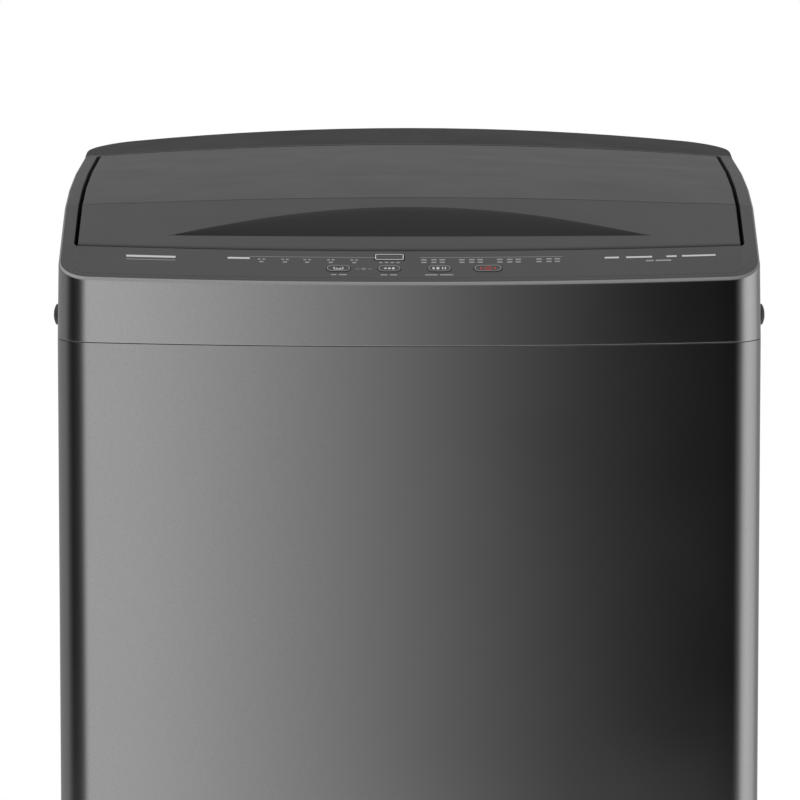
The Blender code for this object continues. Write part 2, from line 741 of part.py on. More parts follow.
def build_handle_cup():
    """The finger scoop below the lid's lens opening: an upright front wall and a sloping back."""
    columns, wall = [], 0.0015
    tip = HANDLE_HALF - 0.004
    for x in spread(-tip, tip, 18):
        length = max(lens_rear(x) - HANDLE_FRONT, 0.0030)
        deep = HANDLE_DEEP * (0.25 + 0.75 * math.sqrt(length / HANDLE_LENGTH))
        start, lip = HANDLE_FRONT, LID_SKIN + GAP + 0.0009
        inside = ((0, 0), (0, 0.85), (0.25, 1), (0.60, 0.80), (0.88, 0.40), (1, 0))
        inner = [top_point(x, start + u * length, lip + v * deep) for u, v in inside]
        outer = [
            top_point(x, start + u * length + wall * (2 * u - 1), lip + v * deep + (wall if 0 < v else 0))
            for u, v in inside
        ]
        columns.append(inner + outer[::-1])
    return loft("lid_handle_cup", columns, lid_plastic())


def arm(name, x, width, points, look):
    """A flat arm across X whose side outline is given as (y, z) points."""
    return loft(name, [[(x + s * width / 2, y, z) for y, z in points] for s in (-1, 1)], look)


def circle(radius, segments, centre=(0, 0), start=0.0, sweep=2 * math.pi):
    steps = segments if abs(sweep - 2 * math.pi) < 1e-6 else segments + 1
    return [
        (centre[0] + radius * math.cos(start + sweep * k / segments),
        centre[1] + radius * math.sin(start + sweep * k / segments))
        for k in range(steps)
    ]


def build_hinge(shell, liner, x, label):
    """A post on the cover's ledge, a pin, and two knuckles under the lid."""
    barrel = 0.0056
    foot_z = ledge_z(HINGE_Y) + GAP + 0.0002
    eye = circle(barrel, 10, (HINGE_Y, HINGE_Z), math.radians(-20), math.radians(220))
    side_view = eye + [(HINGE_Y - 0.018, foot_z), (HINGE_Y - 0.004, foot_z)]
    post = arm(f"{label}_hinge_post", x, POST_WIDTH, side_view, dark_plastic())
    hole = cylinder(f"{label}_post_hole", PIN_RADIUS + 0.0004, -0.02, 0.02, rubber(), 14, (x, HINGE_Y, HINGE_Z),
        (0, math.pi / 2, 0))
    cut(post, hole)
    knuckle = 0.0085
    offset = POST_WIDTH / 2 + 0.0006 + knuckle / 2
    slot = block(f"{label}_hinge_slot", (x - POST_WIDTH / 2 - 0.0006, HINGE_Y - 0.024, HINGE_Z - 0.045),
                 (x + POST_WIDTH / 2 + 0.0006, HINGE_Y + 0.040, top_z(x, HINGE_Y) - LID_SKIN - 0.0008),
                 rubber())
    for side in (-1, 1):
        centre = x + side * offset
        roof = top_z(abs(x) + offset + knuckle, HINGE_Y) - LID_SKIN - 0.0008
        shape = [(HINGE_Y - 0.009, roof)] + circle(barrel, 8, (HINGE_Y, HINGE_Z), math.pi,
            math.pi) + [(HINGE_Y + 0.009, roof)]
        join(liner, arm(f"{label}_knuckle_{side}", centre, knuckle, shape, rubber()))
    cut(liner, slot)
    cut(shell, slot)
    length = POST_WIDTH / 2 + 0.0006 + knuckle
    bore = cylinder(f"{label}_knuckle_bore", PIN_RADIUS + 0.0003, -0.03, 0.03, rubber(), 14,
        (x, HINGE_Y, HINGE_Z), (0, math.pi / 2, 0))
    cut(liner, bore)
    cylinder(f"{label}_hinge_pin", PIN_RADIUS, -length, length, zinc(), 12, (x, HINGE_Y, HINGE_Z),
        (0, math.pi / 2, 0))


# ---- dispenser and water inlet ------------------------------------------------------------------------
def open_box(name, low, high, wall, look, front=False):
    """A box open at the top, and at the front too if asked."""
    body = block(name, low, high, look)
    inside_low = (low[0] + wall, low[1] + (wall if not front else -0.01), low[2] + wall)
    cut(body, block(name + "_inside", inside_low, (high[0] - wall, high[1] - wall, high[2] + 0.01), look))
    return body


def build_dispenser():
    half = DRAWER_WIDTH / 2
    front_y = MOUTH_REAR_Y - 0.006
    low = (DRAWER_X - half - 0.0022, MOUTH_REAR_Y + 0.0095, DRAWER_Z - 0.0022)
    high = (DRAWER_X + half + 0.0022, front_y + DRAWER_LENGTH + 0.016, DRAWER_Z + DRAWER_HEIGHT - 0.002)
    open_box("dispenser_box", low, high, 0.0018, white_plastic(), front=True)
    drawer = block("detergent_drawer", (DRAWER_X - half, front_y, DRAWER_Z),
        (DRAWER_X + half, front_y + DRAWER_LENGTH, DRAWER_Z + DRAWER_HEIGHT - 0.004), grey_plastic())
    wall, divider = 0.002, 0.35
    splits = (DRAWER_X - half, DRAWER_X - half + divider * DRAWER_WIDTH, DRAWER_X + half)
    for k, (a, b) in enumerate(zip(splits, splits[1:])):
        cut(drawer,
            block(f"drawer_bay_{k}", (a + wall, front_y + 0.006, DRAWER_Z + wall),
            (b - wall, front_y + DRAWER_LENGTH - wall, DRAWER_Z + 0.06), rubber()))


def build_water_inlet():
    valve = turned("water_inlet_valve", [
        (0.0085, 0), (INLET_RADIUS, 0), (INLET_RADIUS, 0.016), (0.0165, 0.017), (0.0165, 0.022), (0.011, 0.023),
        (0.011, 0.050), (0, 0.050), (0, 0.014), (0.0085, 0.012),
    ], white_plastic(), 20, (INLET_X, DEPTH / 2 - 0.0006, INLET_Z), (math.pi / 2, 0, 0))
    coil = block("valve_coil", (INLET_X - 0.016, DEPTH / 2 - 0.050, INLET_Z - 0.032),
        (INLET_X + 0.016, DEPTH / 2 - 0.027, INLET_Z + 0.006), white_plastic())
    join(valve, coil)
    start, back = (INLET_X - 0.0175, DEPTH / 2 - 0.040, INLET_Z - 0.018), DEPTH / 2
    end = (DRAWER_X + DRAWER_WIDTH / 2 + 0.004, back - 0.048, DRAWER_Z + 0.018)
    bend = (end[0] + 0.046, back - 0.044, DRAWER_Z + 0.028)
    route = [start, (INLET_X - 0.05, back - 0.040, INLET_Z - 0.022), (0.02, back - 0.042, DRAWER_Z + 0.030),
        bend, end]
    tube("inlet_pipe", smooth_route(route, 3), 0.0055, rubber())


def smooth_route(points, steps):
    """A Catmull-Rom curve through the points, with this many steps to each span."""
    ends = [points[0], *points, points[-1]]
    made = []
    for k in range(len(points) - 1):
        p0, p1, p2, p3 = (Vector(p) for p in ends[k:k + 4])
        for step in range(steps):
            t = step / steps
            square, cube = 2 * p0 - 5 * p1 + 4 * p2 - p3, 3 * p1 - p0 - 3 * p2 + p3
            made.append(0.5 * (2 * p1 + (p2 - p0) * t + square * t**2 + cube * t**3))
    return made + [Vector(points[-1])]


# ---- wash unit ----------------------------------------------------------------------------------------
AXIS = (0, TUB_Y, 0)


def build_outer_tub():
    r, w, floor = TUB_RADIUS, TUB_WALL, TUB_FLOOR_Z
    tub = turned("outer_tub", [
        (0.030, floor), (r - 0.030, floor), (r - 0.008, floor + 0.014), (r, floor + 0.040), (r, TUB_TOP_Z),
        (r - w, TUB_TOP_Z), (r - w, floor + 0.042), (r - 0.011, floor + 0.018), (r - 0.032, floor + w + 0.001),
        (0.030, floor + w),
    ], white_plastic(), RING_SEGMENTS, AXIS)
    for sx in (-1, 1):
        for sy in (-1, 1):
            label = f"{'l' if sx < 0 else 'r'}{'f' if sy < 0 else 'b'}"
            inner, reach = 0.64 * r, 0.014
            points = [
                (sx * inner, sy * (inner + 0.020)), (sx * (ROD_X - 0.006), sy * (ROD_Y + reach)),
                (sx * (ROD_X + reach), sy * (ROD_Y + reach)), (sx * (ROD_X + reach), sy * (ROD_Y - 0.006)),
                (sx * (inner + 0.020), sy * inner),
            ]
            lug = loft(f"lug_{label}", [[(x, y + TUB_Y, z) for x, y in points] for z in (LUG_Z, LUG_Z + 0.034)],
                white_plastic())
            join(tub, lug)
            cut(tub, cylinder(f"lug_hole_{label}", ROD_RADIUS + 0.0015, 0.2, 0.4, rubber(), 10,
                (sx * ROD_X, sy * ROD_Y + TUB_Y, 0)))
    inside = cylinder("tub_inside", r - w - 0.0002, floor + 0.042, 1.0, rubber(), RING_SEGMENTS, AXIS)
    cut(tub, inside)
    drain = cylinder("drain_hole", 0.014, floor - 0.01, floor + 0.02, rubber(), 12,
        (DRAIN_X * 0.6, TUB_Y - 0.06, 0))
    cut(tub, drain)
    mouth = r - 0.042
    ring = turned("tub_ring", [
        (r + 0.003, TUB_TOP_Z - 0.014), (r + 0.006, TUB_TOP_Z - 0.014), (r + 0.006, TUB_TOP_Z + 0.006),
        (mouth + 0.011, TUB_TOP_Z + 0.016),
        (mouth, TUB_TOP_Z + 0.016), (mouth, TUB_TOP_Z + 0.004), (mouth + 0.003, TUB_TOP_Z + 0.004),
        (mouth + 0.003, TUB_TOP_Z + 0.012), (mouth + 0.010, TUB_TOP_Z + 0.012), (r + 0.003, TUB_TOP_Z + 0.0025),
    ], white_plastic(), RING_SEGMENTS, AXIS)
    return tub, ring


def build_basket():
    r, t = BASKET_RADIUS, BASKET_SHEET
    turned("basket_wall", [
        (r, BASKET_FLOOR_Z + 0.012), (r, BASKET_TOP_Z), (r - t, BASKET_TOP_Z), (r - t, BASKET_FLOOR_Z + 0.012),
    ], stainless(), RING_SEGMENTS, AXIS)
    inner = r - t - GAP - 0.0004
    turned("basket_base", [
        (0.0180, BASKET_FLOOR_Z - 0.012), (0.050, BASKET_FLOOR_Z - 0.012), (0.070, BASKET_FLOOR_Z),
        (inner - 0.004, BASKET_FLOOR_Z),
        (inner, BASKET_FLOOR_Z + 0.006), (inner, BASKET_FLOOR_Z + 0.034),
        (inner - 0.003, BASKET_FLOOR_Z + 0.034),
        (inner - 0.022, BASKET_FLOOR_Z + 0.010), (0.065, BASKET_FLOOR_Z + 0.006),
        (0.040, BASKET_FLOOR_Z + 0.010), (0.0180, BASKET_FLOOR_Z + 0.010),
    ], grey_plastic(), RING_SEGMENTS, AXIS)
    low, high = BASKET_TOP_Z + GAP + 0.0002, BASKET_TOP_Z + BALANCE_HEIGHT
    out = r + 0.006
    turned("balance_ring", [
        (BALANCE_INNER + 0.010, low), (out, low), (out, high - 0.012), (out - 0.010, high),
        (BALANCE_INNER + 0.008, high),
        (BALANCE_INNER, high - 0.010), (BALANCE_INNER, low + 0.014),
    ], grey_plastic(), RING_SEGMENTS, AXIS)
    build_lint_filter()
    turned("spin_tube", [
        (SHAFT_RADIUS + 0.0012, 0.248), (SPIN_TUBE, 0.248), (SPIN_TUBE, BASKET_FLOOR_Z - 0.013),
        (0.0174, BASKET_FLOOR_Z - 0.012),
        (0.0174, BASKET_FLOOR_Z + 0.012), (SHAFT_RADIUS + 0.0012, BASKET_FLOOR_Z + 0.012),
    ], stainless(), 20, AXIS)


def build_lint_filter():
    """A lint filter cassette that clips on the inside of the basket wall."""
    inner = BASKET_RADIUS - BASKET_SHEET
    reach, half, low, high = 0.016, math.radians(13), 0.420, 0.600
    def sector(radius_out, radius_in, spread_half, z):
        angles = spread(math.pi / 2 - spread_half, math.pi / 2 + spread_half, 6)
        return ([(radius_out * math.cos(a), radius_out * math.sin(a) + TUB_Y, z) for a in angles]
                + [(radius_in * math.cos(a), radius_in * math.sin(a) + TUB_Y, z) for a in angles[::-1]])
    out = inner * math.cos(math.pi / RING_SEGMENTS) - GAP - 0.0008
    loops = [sector(out, out - 0.006, half * 0.9, low), sector(out, out - reach, half, low + 0.020),
             sector(out, out - reach, half, high - 0.020), sector(out, out - 0.006, half * 0.9, high)]
    return loft("lint_filter", loops, white_plastic())


def build_pulsator():
    """The wave disc in the floor of the basket: a dished plate with swept ribs."""
    spokes, segments, rows = 6, 36, (0.0, 0.024, 0.060, 0.105, 0.145, PULSATOR_RADIUS)
    points, faces = [(0, 0, PULSATOR_Z + 0.026)], []
    for r in rows[1:]:
        for k in range(segments):
            angle = 2 * math.pi * k / segments
            share = r / PULSATOR_RADIUS
            dish = 0.020 * (1 - share) ** 2 + 0.004 * share**2
            wave = max(math.cos(spokes * (angle + 0.5 * share)), 0) ** 2
            rib = 0.022 * wave * math.sin(math.pi * min(share * 1.02, 1)) ** 0.7 if r > 0.03 else 0.0
            points.append((r * math.cos(angle), r * math.sin(angle), PULSATOR_Z + dish + max(rib, 0)))
    faces += [(0, 1 + k, 1 + (k + 1) % segments) for k in range(segments)]
    for i in range(len(rows) - 2):
        a, b = 1 + i * segments, 1 + (i + 1) * segments
        faces += [(a + k, a + (k + 1) % segments, b + (k + 1) % segments, b + k) for k in range(segments)]
    rim = 1 + (len(rows) - 2) * segments
    under = len(points)
    for radius, z in ((PULSATOR_RADIUS, -0.006), (PULSATOR_RADIUS - 0.012, -0.004), (0.030, -0.004),
            (0.030, -0.012)):
        points += [(radius * math.cos(2 * math.pi * k / segments),
            radius * math.sin(2 * math.pi * k / segments), PULSATOR_Z + z) for k in range(segments)]
    starts = [rim] + [under + n * segments for n in range(4)]
    for a, b in zip(starts, starts[1:]):
        faces += [(a + k, b + k, b + (k + 1) % segments, a + (k + 1) % segments) for k in range(segments)]
    faces.append(tuple(starts[-1] + k for k in range(segments)))
    disc = place(solid("pulsator", points, faces, grey_plastic()), AXIS)
    cut(disc, cylinder("pulsator_bore", SHAFT_RADIUS + 0.0003, PULSATOR_Z - 0.02, PULSATOR_Z + 0.018, rubber(),
        16, AXIS))
    cap_z = PULSATOR_Z + 0.026
    turned("pulsator_cap",
        [(0, cap_z + 0.0005), (0.015, cap_z - 0.0010), (0.0155, cap_z + 0.003), (0.009, cap_z + 0.0062),
        (0, cap_z + 0.007)], stainless(), 20, AXIS)
    cylinder("wash_shaft", SHAFT_RADIUS, 0.162, PULSATOR_Z + 0.0175, stainless(), 16, AXIS)


def build_drive():
    plate = loft("mounting_plate",
        [[(x, y + TUB_Y, z) for x, y in rounded_rectangle(0.300, 0.300, 0.050)] for z in (PLATE_Z - PLATE_THICK,
        PLATE_Z)], zinc())
    cut(plate, cylinder("plate_hole", 0.034, 0.2, 0.3, rubber(), 20, AXIS))
    motor_at = (MOTOR_X, MOTOR_Y + TUB_Y, 0)
    cut(plate, cylinder("motor_clearance", 0.020, 0.2, 0.3, rubber(), 16, motor_at))
    cut(plate, cylinder("sump_clearance", 0.0245, 0.2, 0.3, rubber(), 16, (DRAIN_X * 0.6, TUB_Y - 0.06, 0)))
    turned("gearbox_housing", [
        (SHAFT_RADIUS + 0.0012, 0.150), (0.030, 0.150), (0.052, 0.158), (0.056, 0.170), (0.056, 0.215),
        (0.062, 0.222), (0.062, PLATE_Z - PLATE_THICK - GAP),
        (0.026, PLATE_Z - PLATE_THICK - GAP), (0.026, 0.2435), (SHAFT_RADIUS + 0.0012, 0.2435),
    ], zinc(), 20, AXIS)
    turned("clutch_pulley", [
        (0, 0.106), (0.0068, 0.106), (0.0068, 0.117), (0.018, 0.117), (0.018, 0.121), (0.072, 0.121),
        (0.072, 0.118), (0.0835, 0.118), (0.0785, PULLEY_Z),
        (0.0835, 0.134), (0.072, 0.134), (0.072, 0.130), (0.018, 0.130), (0.018, 0.146), (SHAFT_RADIUS, 0.146),
        (SHAFT_RADIUS, 0.158), (0, 0.158),
    ], zinc(), 24, AXIS)
    turned("motor", [
        (0.0065, 0.142), (0.026, 0.142), (0.030, 0.148), (MOTOR_RADIUS - 0.004, 0.150), (MOTOR_RADIUS, 0.156),
        (MOTOR_RADIUS, 0.224), (MOTOR_RADIUS - 0.006, 0.232),
        (0.030, 0.233), (0.026, PLATE_Z - PLATE_THICK - GAP), (0.0065, PLATE_Z - PLATE_THICK - GAP),
    ], zinc(), 20, motor_at)
    turned("motor_pulley", [
        (0, 0.108), (0.006, 0.108), (0.006, 0.117), (0.026, 0.117), (0.026, 0.119), (0.0208, PULLEY_Z),
        (0.026, 0.133), (0.026, 0.135), (0.006, 0.135),
        (0.006, 0.231), (0, 0.231),
    ], stainless(), 16, motor_at)
    build_belt(motor_at)


def build_belt(motor_at):
    """A V belt round both pulleys."""
    big, small = CLUTCH_PULLEY_RADIUS + BELT_GAP, MOTOR_PULLEY_RADIUS + BELT_GAP
    start, end = Vector((0, TUB_Y)), Vector(motor_at[:2])
    span = end - start
    heading, lean = math.atan2(span.y, span.x), math.asin((big - small) / span.length)
    loops = []
    for grow, rise in ((0.0, -0.0028), (0.0042, -0.0042), (0.0042, 0.0042), (0.0, 0.0028)):
        around = []
        first = heading + math.pi / 2 - lean
        for k in range(19):
            a = first + (math.pi + 2 * lean) * k / 18
            around.append((start.x + (big + grow) * math.cos(a), start.y + (big + grow) * math.sin(a),
                PULLEY_Z + rise))
        for k in range(9):
            a = heading - math.pi / 2 + lean + (math.pi - 2 * lean) * k / 8
            around.append((end.x + (small + grow) * math.cos(a), end.y + (small + grow) * math.sin(a),
                PULLEY_Z + rise))
        loops.append(around)
    return loft("drive_belt", loops, rubber(), closed=True)


def build_drain():
    x, y = DRAIN_X * 0.6, TUB_Y - 0.06
    turned("drain_valve", [
        (0.012, 0.196), (0.0225, 0.196), (0.0225, 0.236), (0.0235, 0.2365),
        (0.0235, TUB_FLOOR_Z - GAP - 0.0003), (0.0160, TUB_FLOOR_Z - GAP - 0.0003),
        (0.0160, 0.210), (0.012, 0.208),
    ], white_plastic(), 20, (x, y, 0))
    start, end = (x, y, 0.1955), (DRAIN_X, DEPTH / 2 - 0.0200, DRAIN_Z)
    bends = [(x, y, 0.182), (x - 0.030, y + 0.050, 0.148), (DRAIN_X - 0.008, 0.080, 0.130),
        (DRAIN_X, DEPTH / 2 - 0.090, 0.144)]
    route = [start] + smooth_route(bends, 3) + [(DRAIN_X, DEPTH / 2 - 0.040, DRAIN_Z), end]
    tube("drain_hose", route, 0.0120, rubber())
    turned("drain_outlet", [
        (0.0105, 0), (0.0135, 0), (0.0135, 0.0078), (0.0200, 0.0078), (0.0200, 0.0098), (0.0135, 0.0098),
        (0.0135, 0.0190), (0.0105, 0.0190),
    ], dark_plastic(), 20, (DRAIN_X, DEPTH / 2 - 0.0005, DRAIN_Z), (math.pi / 2, 0, 0))


def build_suspension():
    for sx, side in ((-1, "left"), (1, "right")):
        for sy, end in ((-1, "front"), (1, "rear")):
            at = (sx * ROD_X, sy * ROD_Y + TUB_Y, 0)
            label = f"{end}_{side}"
            turned(f"{label}_rod", [
                (0, ROD_FOOT_Z - 0.010), (0.0065, ROD_FOOT_Z - 0.010), (0.0065, ROD_FOOT_Z - 0.003),
                (0.0155, ROD_FOOT_Z - 0.003), (0.0155, ROD_FOOT_Z),
                (ROD_RADIUS, ROD_FOOT_Z), (ROD_RADIUS, ROD_TOP_Z - 0.012), (0.0090, ROD_TOP_Z - 0.010),
                (0.0090, ROD_TOP_Z - 0.004), (0.004, ROD_TOP_Z), (0, ROD_TOP_Z),
            ], zinc(), 8, at)
            low, high = ROD_FOOT_Z + SPRING_WIRE + 0.0004, LUG_Z - SPRING_WIRE - 0.0006
            steps = SPRING_TURNS * SPRING_STEPS
            route = [
                (at[0] + x, at[1] + y, low + (high - low) * k / steps)
                for k, (x, y) in enumerate(circle(SPRING_RADIUS,
                        SPRING_STEPS) * SPRING_TURNS + [(SPRING_RADIUS, 0)])
            ]
            tube(f"{label}_spring", route, SPRING_WIRE, stainless(), 0)


def build_hanger_rails():
    """Pressed steel rails along the inside of the cabinet that the suspension rods hang from."""
    edge = WIDTH / 2 - SHEET - 0.0008
    reach, low, high = ROD_X - 0.016, ROD_TOP_Z - 0.0170, ROD_TOP_Z - 0.0145
    front, back, slim = TUB_Y - ROD_Y - 0.018, TUB_Y + ROD_Y + 0.018, WIDTH / 2 - 0.018
    straight = max(front_corner_y() + 0.003, front)
    for side, name in ((-1, "left_hanger_rail"), (1, "right_hanger_rail")):
        plan = [
            (reach, front), (edge - 0.65 * CORNER_RADIUS, front), (edge, straight), (edge, back), (reach, back),
            (reach, back - 0.034), (slim, back - 0.060), (slim, front + 0.060), (reach, front + 0.034),
        ]
        rail = loft(name, [[(side * x, y, z) for x, y in plan] for z in (low, high)], zinc())
        sides = sorted((side * edge, side * (edge - 0.0025)))
        join(rail, block(name + "_flange", (sides[0], straight, low - 0.032), (sides[1], back, high - 0.001),
            zinc()))
        for y in (TUB_Y - ROD_Y, TUB_Y + ROD_Y):
            hole = cylinder(f"{name}_hole_{y}", ROD_RADIUS + 0.001, low - 0.05, high + 0.05, rubber(), 10,
                (side * ROD_X, y, 0))
            cut(rail, hole)


def build_small_parts():
    turned("power_cord_gland", [
        (0, 0), (0.0125, 0), (0.0150, 0.0015), (0.0150, 0.0030), (0.0110, 0.0030), (0.0110, 0.0120),
        (0, 0.0120),
    ], rubber(), 16, (GLAND_X, DEPTH / 2 - SHEET - PANEL_SINK + 0.0030, GLAND_Z), (math.pi / 2, 0, 0))
    low = (MOUTH_HALF - 0.016, LID_REAR - DEPTH / 2 + 0.023, SEAM_Z + 0.041)
    block("lid_switch", low, (low[0] + 0.032, low[1] + 0.028, low[2] + 0.024), dark_plastic())


def cut_back_panel(panel):
    for name, radius, x, z in (("outlet_opening", 0.0140, DRAIN_X, DRAIN_Z),
            ("gland_opening", 0.0116, GLAND_X, GLAND_Z)):
        cut(panel, cylinder(name, radius, -0.02, 0.02, rubber(), 20, (x, DEPTH / 2, z), (math.pi / 2, 0, 0)))


def main():
    clear_scene()
    build_cabinet()
    cut_back_panel(build_back_panel())
    build_base()
    for name, x, y in (("front_left_foot", -FOOT_X, -FOOT_Y), ("front_right_foot", FOOT_X, -FOOT_Y),
                       ("rear_left_foot", -FOOT_X, FOOT_Y), ("rear_right_foot", FOOT_X, FOOT_Y)):
        build_foot(name, x, y)
    build_top()
    build_fascia()
    build_side_caps()
    build_lid()
    build_dispenser()
    build_water_inlet()
    build_outer_tub()
    build_basket()
    build_pulsator()
    build_drive()
    build_drain()
    build_suspension()
    build_hanger_rails()
    build_small_parts()


main()
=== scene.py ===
"""The finished look of a top load washing machine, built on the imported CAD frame.

Metres, +Z up, front towards -Y. Sizes that repeat the CAD part's carry the same names as there.
"""

import json
import math

import bmesh
import bpy
from mathutils import Matrix, Vector

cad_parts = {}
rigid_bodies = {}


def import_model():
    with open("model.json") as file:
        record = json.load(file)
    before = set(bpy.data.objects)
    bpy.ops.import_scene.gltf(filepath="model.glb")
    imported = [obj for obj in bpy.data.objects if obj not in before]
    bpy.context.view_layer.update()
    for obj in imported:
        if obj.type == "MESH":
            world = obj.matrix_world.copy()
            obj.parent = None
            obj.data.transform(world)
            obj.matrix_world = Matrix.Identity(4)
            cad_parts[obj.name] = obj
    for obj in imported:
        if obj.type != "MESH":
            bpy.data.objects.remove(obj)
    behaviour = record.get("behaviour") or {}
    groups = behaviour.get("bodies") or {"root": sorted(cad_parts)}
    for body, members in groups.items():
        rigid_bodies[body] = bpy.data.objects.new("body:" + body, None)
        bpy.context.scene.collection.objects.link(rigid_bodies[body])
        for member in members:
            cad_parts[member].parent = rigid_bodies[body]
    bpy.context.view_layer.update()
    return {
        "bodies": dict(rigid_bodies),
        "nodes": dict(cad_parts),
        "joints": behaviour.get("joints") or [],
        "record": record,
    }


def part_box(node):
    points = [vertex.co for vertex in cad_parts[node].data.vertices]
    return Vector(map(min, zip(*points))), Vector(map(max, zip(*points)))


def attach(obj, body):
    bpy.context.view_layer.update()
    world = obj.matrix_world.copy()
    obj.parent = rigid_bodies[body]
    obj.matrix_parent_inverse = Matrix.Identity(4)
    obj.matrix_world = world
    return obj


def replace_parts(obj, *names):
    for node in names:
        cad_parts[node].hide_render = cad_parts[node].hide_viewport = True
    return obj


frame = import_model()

NODES = frame["nodes"]

# ---- sizes shared with the CAD part --------------------
WIDTH = 0.540
DEPTH = 0.560
SEAM_Z = 0.833
GAP = 0.0003
BOW_RADIUS = 1.289
CORNER_RADIUS = 0.030
REAR_CORNER_RADIUS = 0.040
REAR_FLANGE = 0.012
SHEET = 0.0012
SKIRT_Z = 0.030
GAP_LINE = 0.0505
CREASE = 0.1270
LID_REAR = DEPTH - 0.0850
LID_RISE = CREASE + 0.21 * (LID_REAR - CREASE)
LID_PEAK = CREASE + 0.52 * (LID_REAR - CREASE)
CROWN_SPAN = 0.250
TOP_KNOTS = (
    (0.0000, 0.0484, -0.0012),
    (GAP_LINE, 0.0685, -0.0012),
    (CREASE, 0.1006, 0.0087),
    (LID_RISE, 0.1072, 0.0089),
    (LID_PEAK, 0.1090, 0.0090),
    (LID_REAR, 0.1056, 0.0091),
    (DEPTH, 0.1118, 0.0130),
)
LID_HALF = WIDTH / 2 - 0.0148
LID_SIDE_GAP = 0.0028
LID_FRONT_GAP = 0.0025
LID_REAR_GAP = 0.0034
COVER_WALL = 0.0028
COVER_DRAFT = 0.0010
SHOULDER = 0.0030
MOUTH_HALF = WIDTH / 2 - 0.064
MOUTH_FRONT_Y = 0.090 - DEPTH / 2
MOUTH_REAR_Y = DEPTH / 2 - 0.128
MOUTH_RADIUS = 0.100
MOUTH_Z = SEAM_Z - 0.027
CONSOLE_Z = SEAM_Z + 0.029
CONSOLE_Y = LID_REAR - DEPTH / 2 + 0.0060
LID_EDGE_FRONT = 0.0240
LID_EDGE_REAR = 0.0150
HANDLE_HALF = 0.185
HANDLE_FRONT = GAP_LINE + 0.0180
HANDLE_LENGTH = 0.0440
HINGE_X = 0.160
POST_WIDTH = 0.0120
FASCIA_HALF = LID_HALF + 0.0008
FASCIA_FRONT = 0.0075
FASCIA_THICK = 0.0013
FASCIA_RADIUS = 0.010
KEY_DEPTH = 0.0208
KEYS = {
    "program_button": (-0.0540, 0.0185),
    "water_level_button": (-0.0152, 0.0175),
    "start_button": (0.0230, 0.0178),
    "power_button": (0.0600, 0.0213),
}
KEY_HEIGHT = 0.0096
KEY_GAP = 0.0004
DISPLAY_X, DISPLAY_DEPTH = -0.0152, 0.0380
DISPLAY_SIZE = (0.0230, 0.0104)
TUB_Y = -0.010
TUB_RADIUS = 0.236
TUB_TOP_Z = SEAM_Z - 0.071
BASKET_RADIUS = TUB_RADIUS - 0.022
BASKET_SHEET = 0.0010
BASKET_FLOOR_Z = 0.300
BASKET_TOP_Z = TUB_TOP_Z - 0.057
BALANCE_INNER = BASKET_RADIUS - 0.034
BALANCE_HEIGHT = 0.052
PULSATOR_RADIUS = BASKET_RADIUS - 0.046
PULSATOR_Z = 0.334
BASE_TOP_Z = 0.062
FOOT_X, FOOT_Y = WIDTH / 2 - 0.048, DEPTH / 2 - 0.058
FOOT_RADIUS = 0.021
STUD_RADIUS = 0.0050
CAP_DEPTH = 0.075
INLET_RADIUS = 0.0132
DRAWER_X, DRAWER_WIDTH, DRAWER_HEIGHT = -0.105, 0.140, 0.034
DRAWER_Z = SEAM_Z + 0.005
INLET_X, INLET_Z = 0.150, SEAM_Z + 0.063
DRAIN_X, DRAIN_Z = -0.160, 0.150
GLAND_X, GLAND_Z = 0.160, SEAM_Z - 0.093
PANEL_SINK = 0.0040

# ---- sizes of the visual model only --------------------
EDGE = 0.0013  # rounding of the lid's border
POCKET_DEEP = 0.0195  # depth of the finger recess
DISH_DEEP = 0.0007
GROOVE = 0.0011  # line along the lid's crease
GROOVE_DEEP = 0.0005
DISH_HALF = 0.226
DISH_LENGTH = 0.113
SLOT_GAP = 0.0006  # between a hinge post and the slot in the lid round it
PRINT = 0.00010  # how far printing stands off the panel
PAINTED_BANDS = 9  # strips of the cover's section, from the seam to the middle of its shoulder
TOP_BANDS = 13  # and from there over the top to the lid's gap

# camera: it looks along +Y, a little down
CAMERA_DISTANCE = 5.07
CAMERA_TILT = math.radians(8)
CAMERA_X = -0.0071
AIM_Z = SEAM_Z - 0.0412
LENS = 299.8


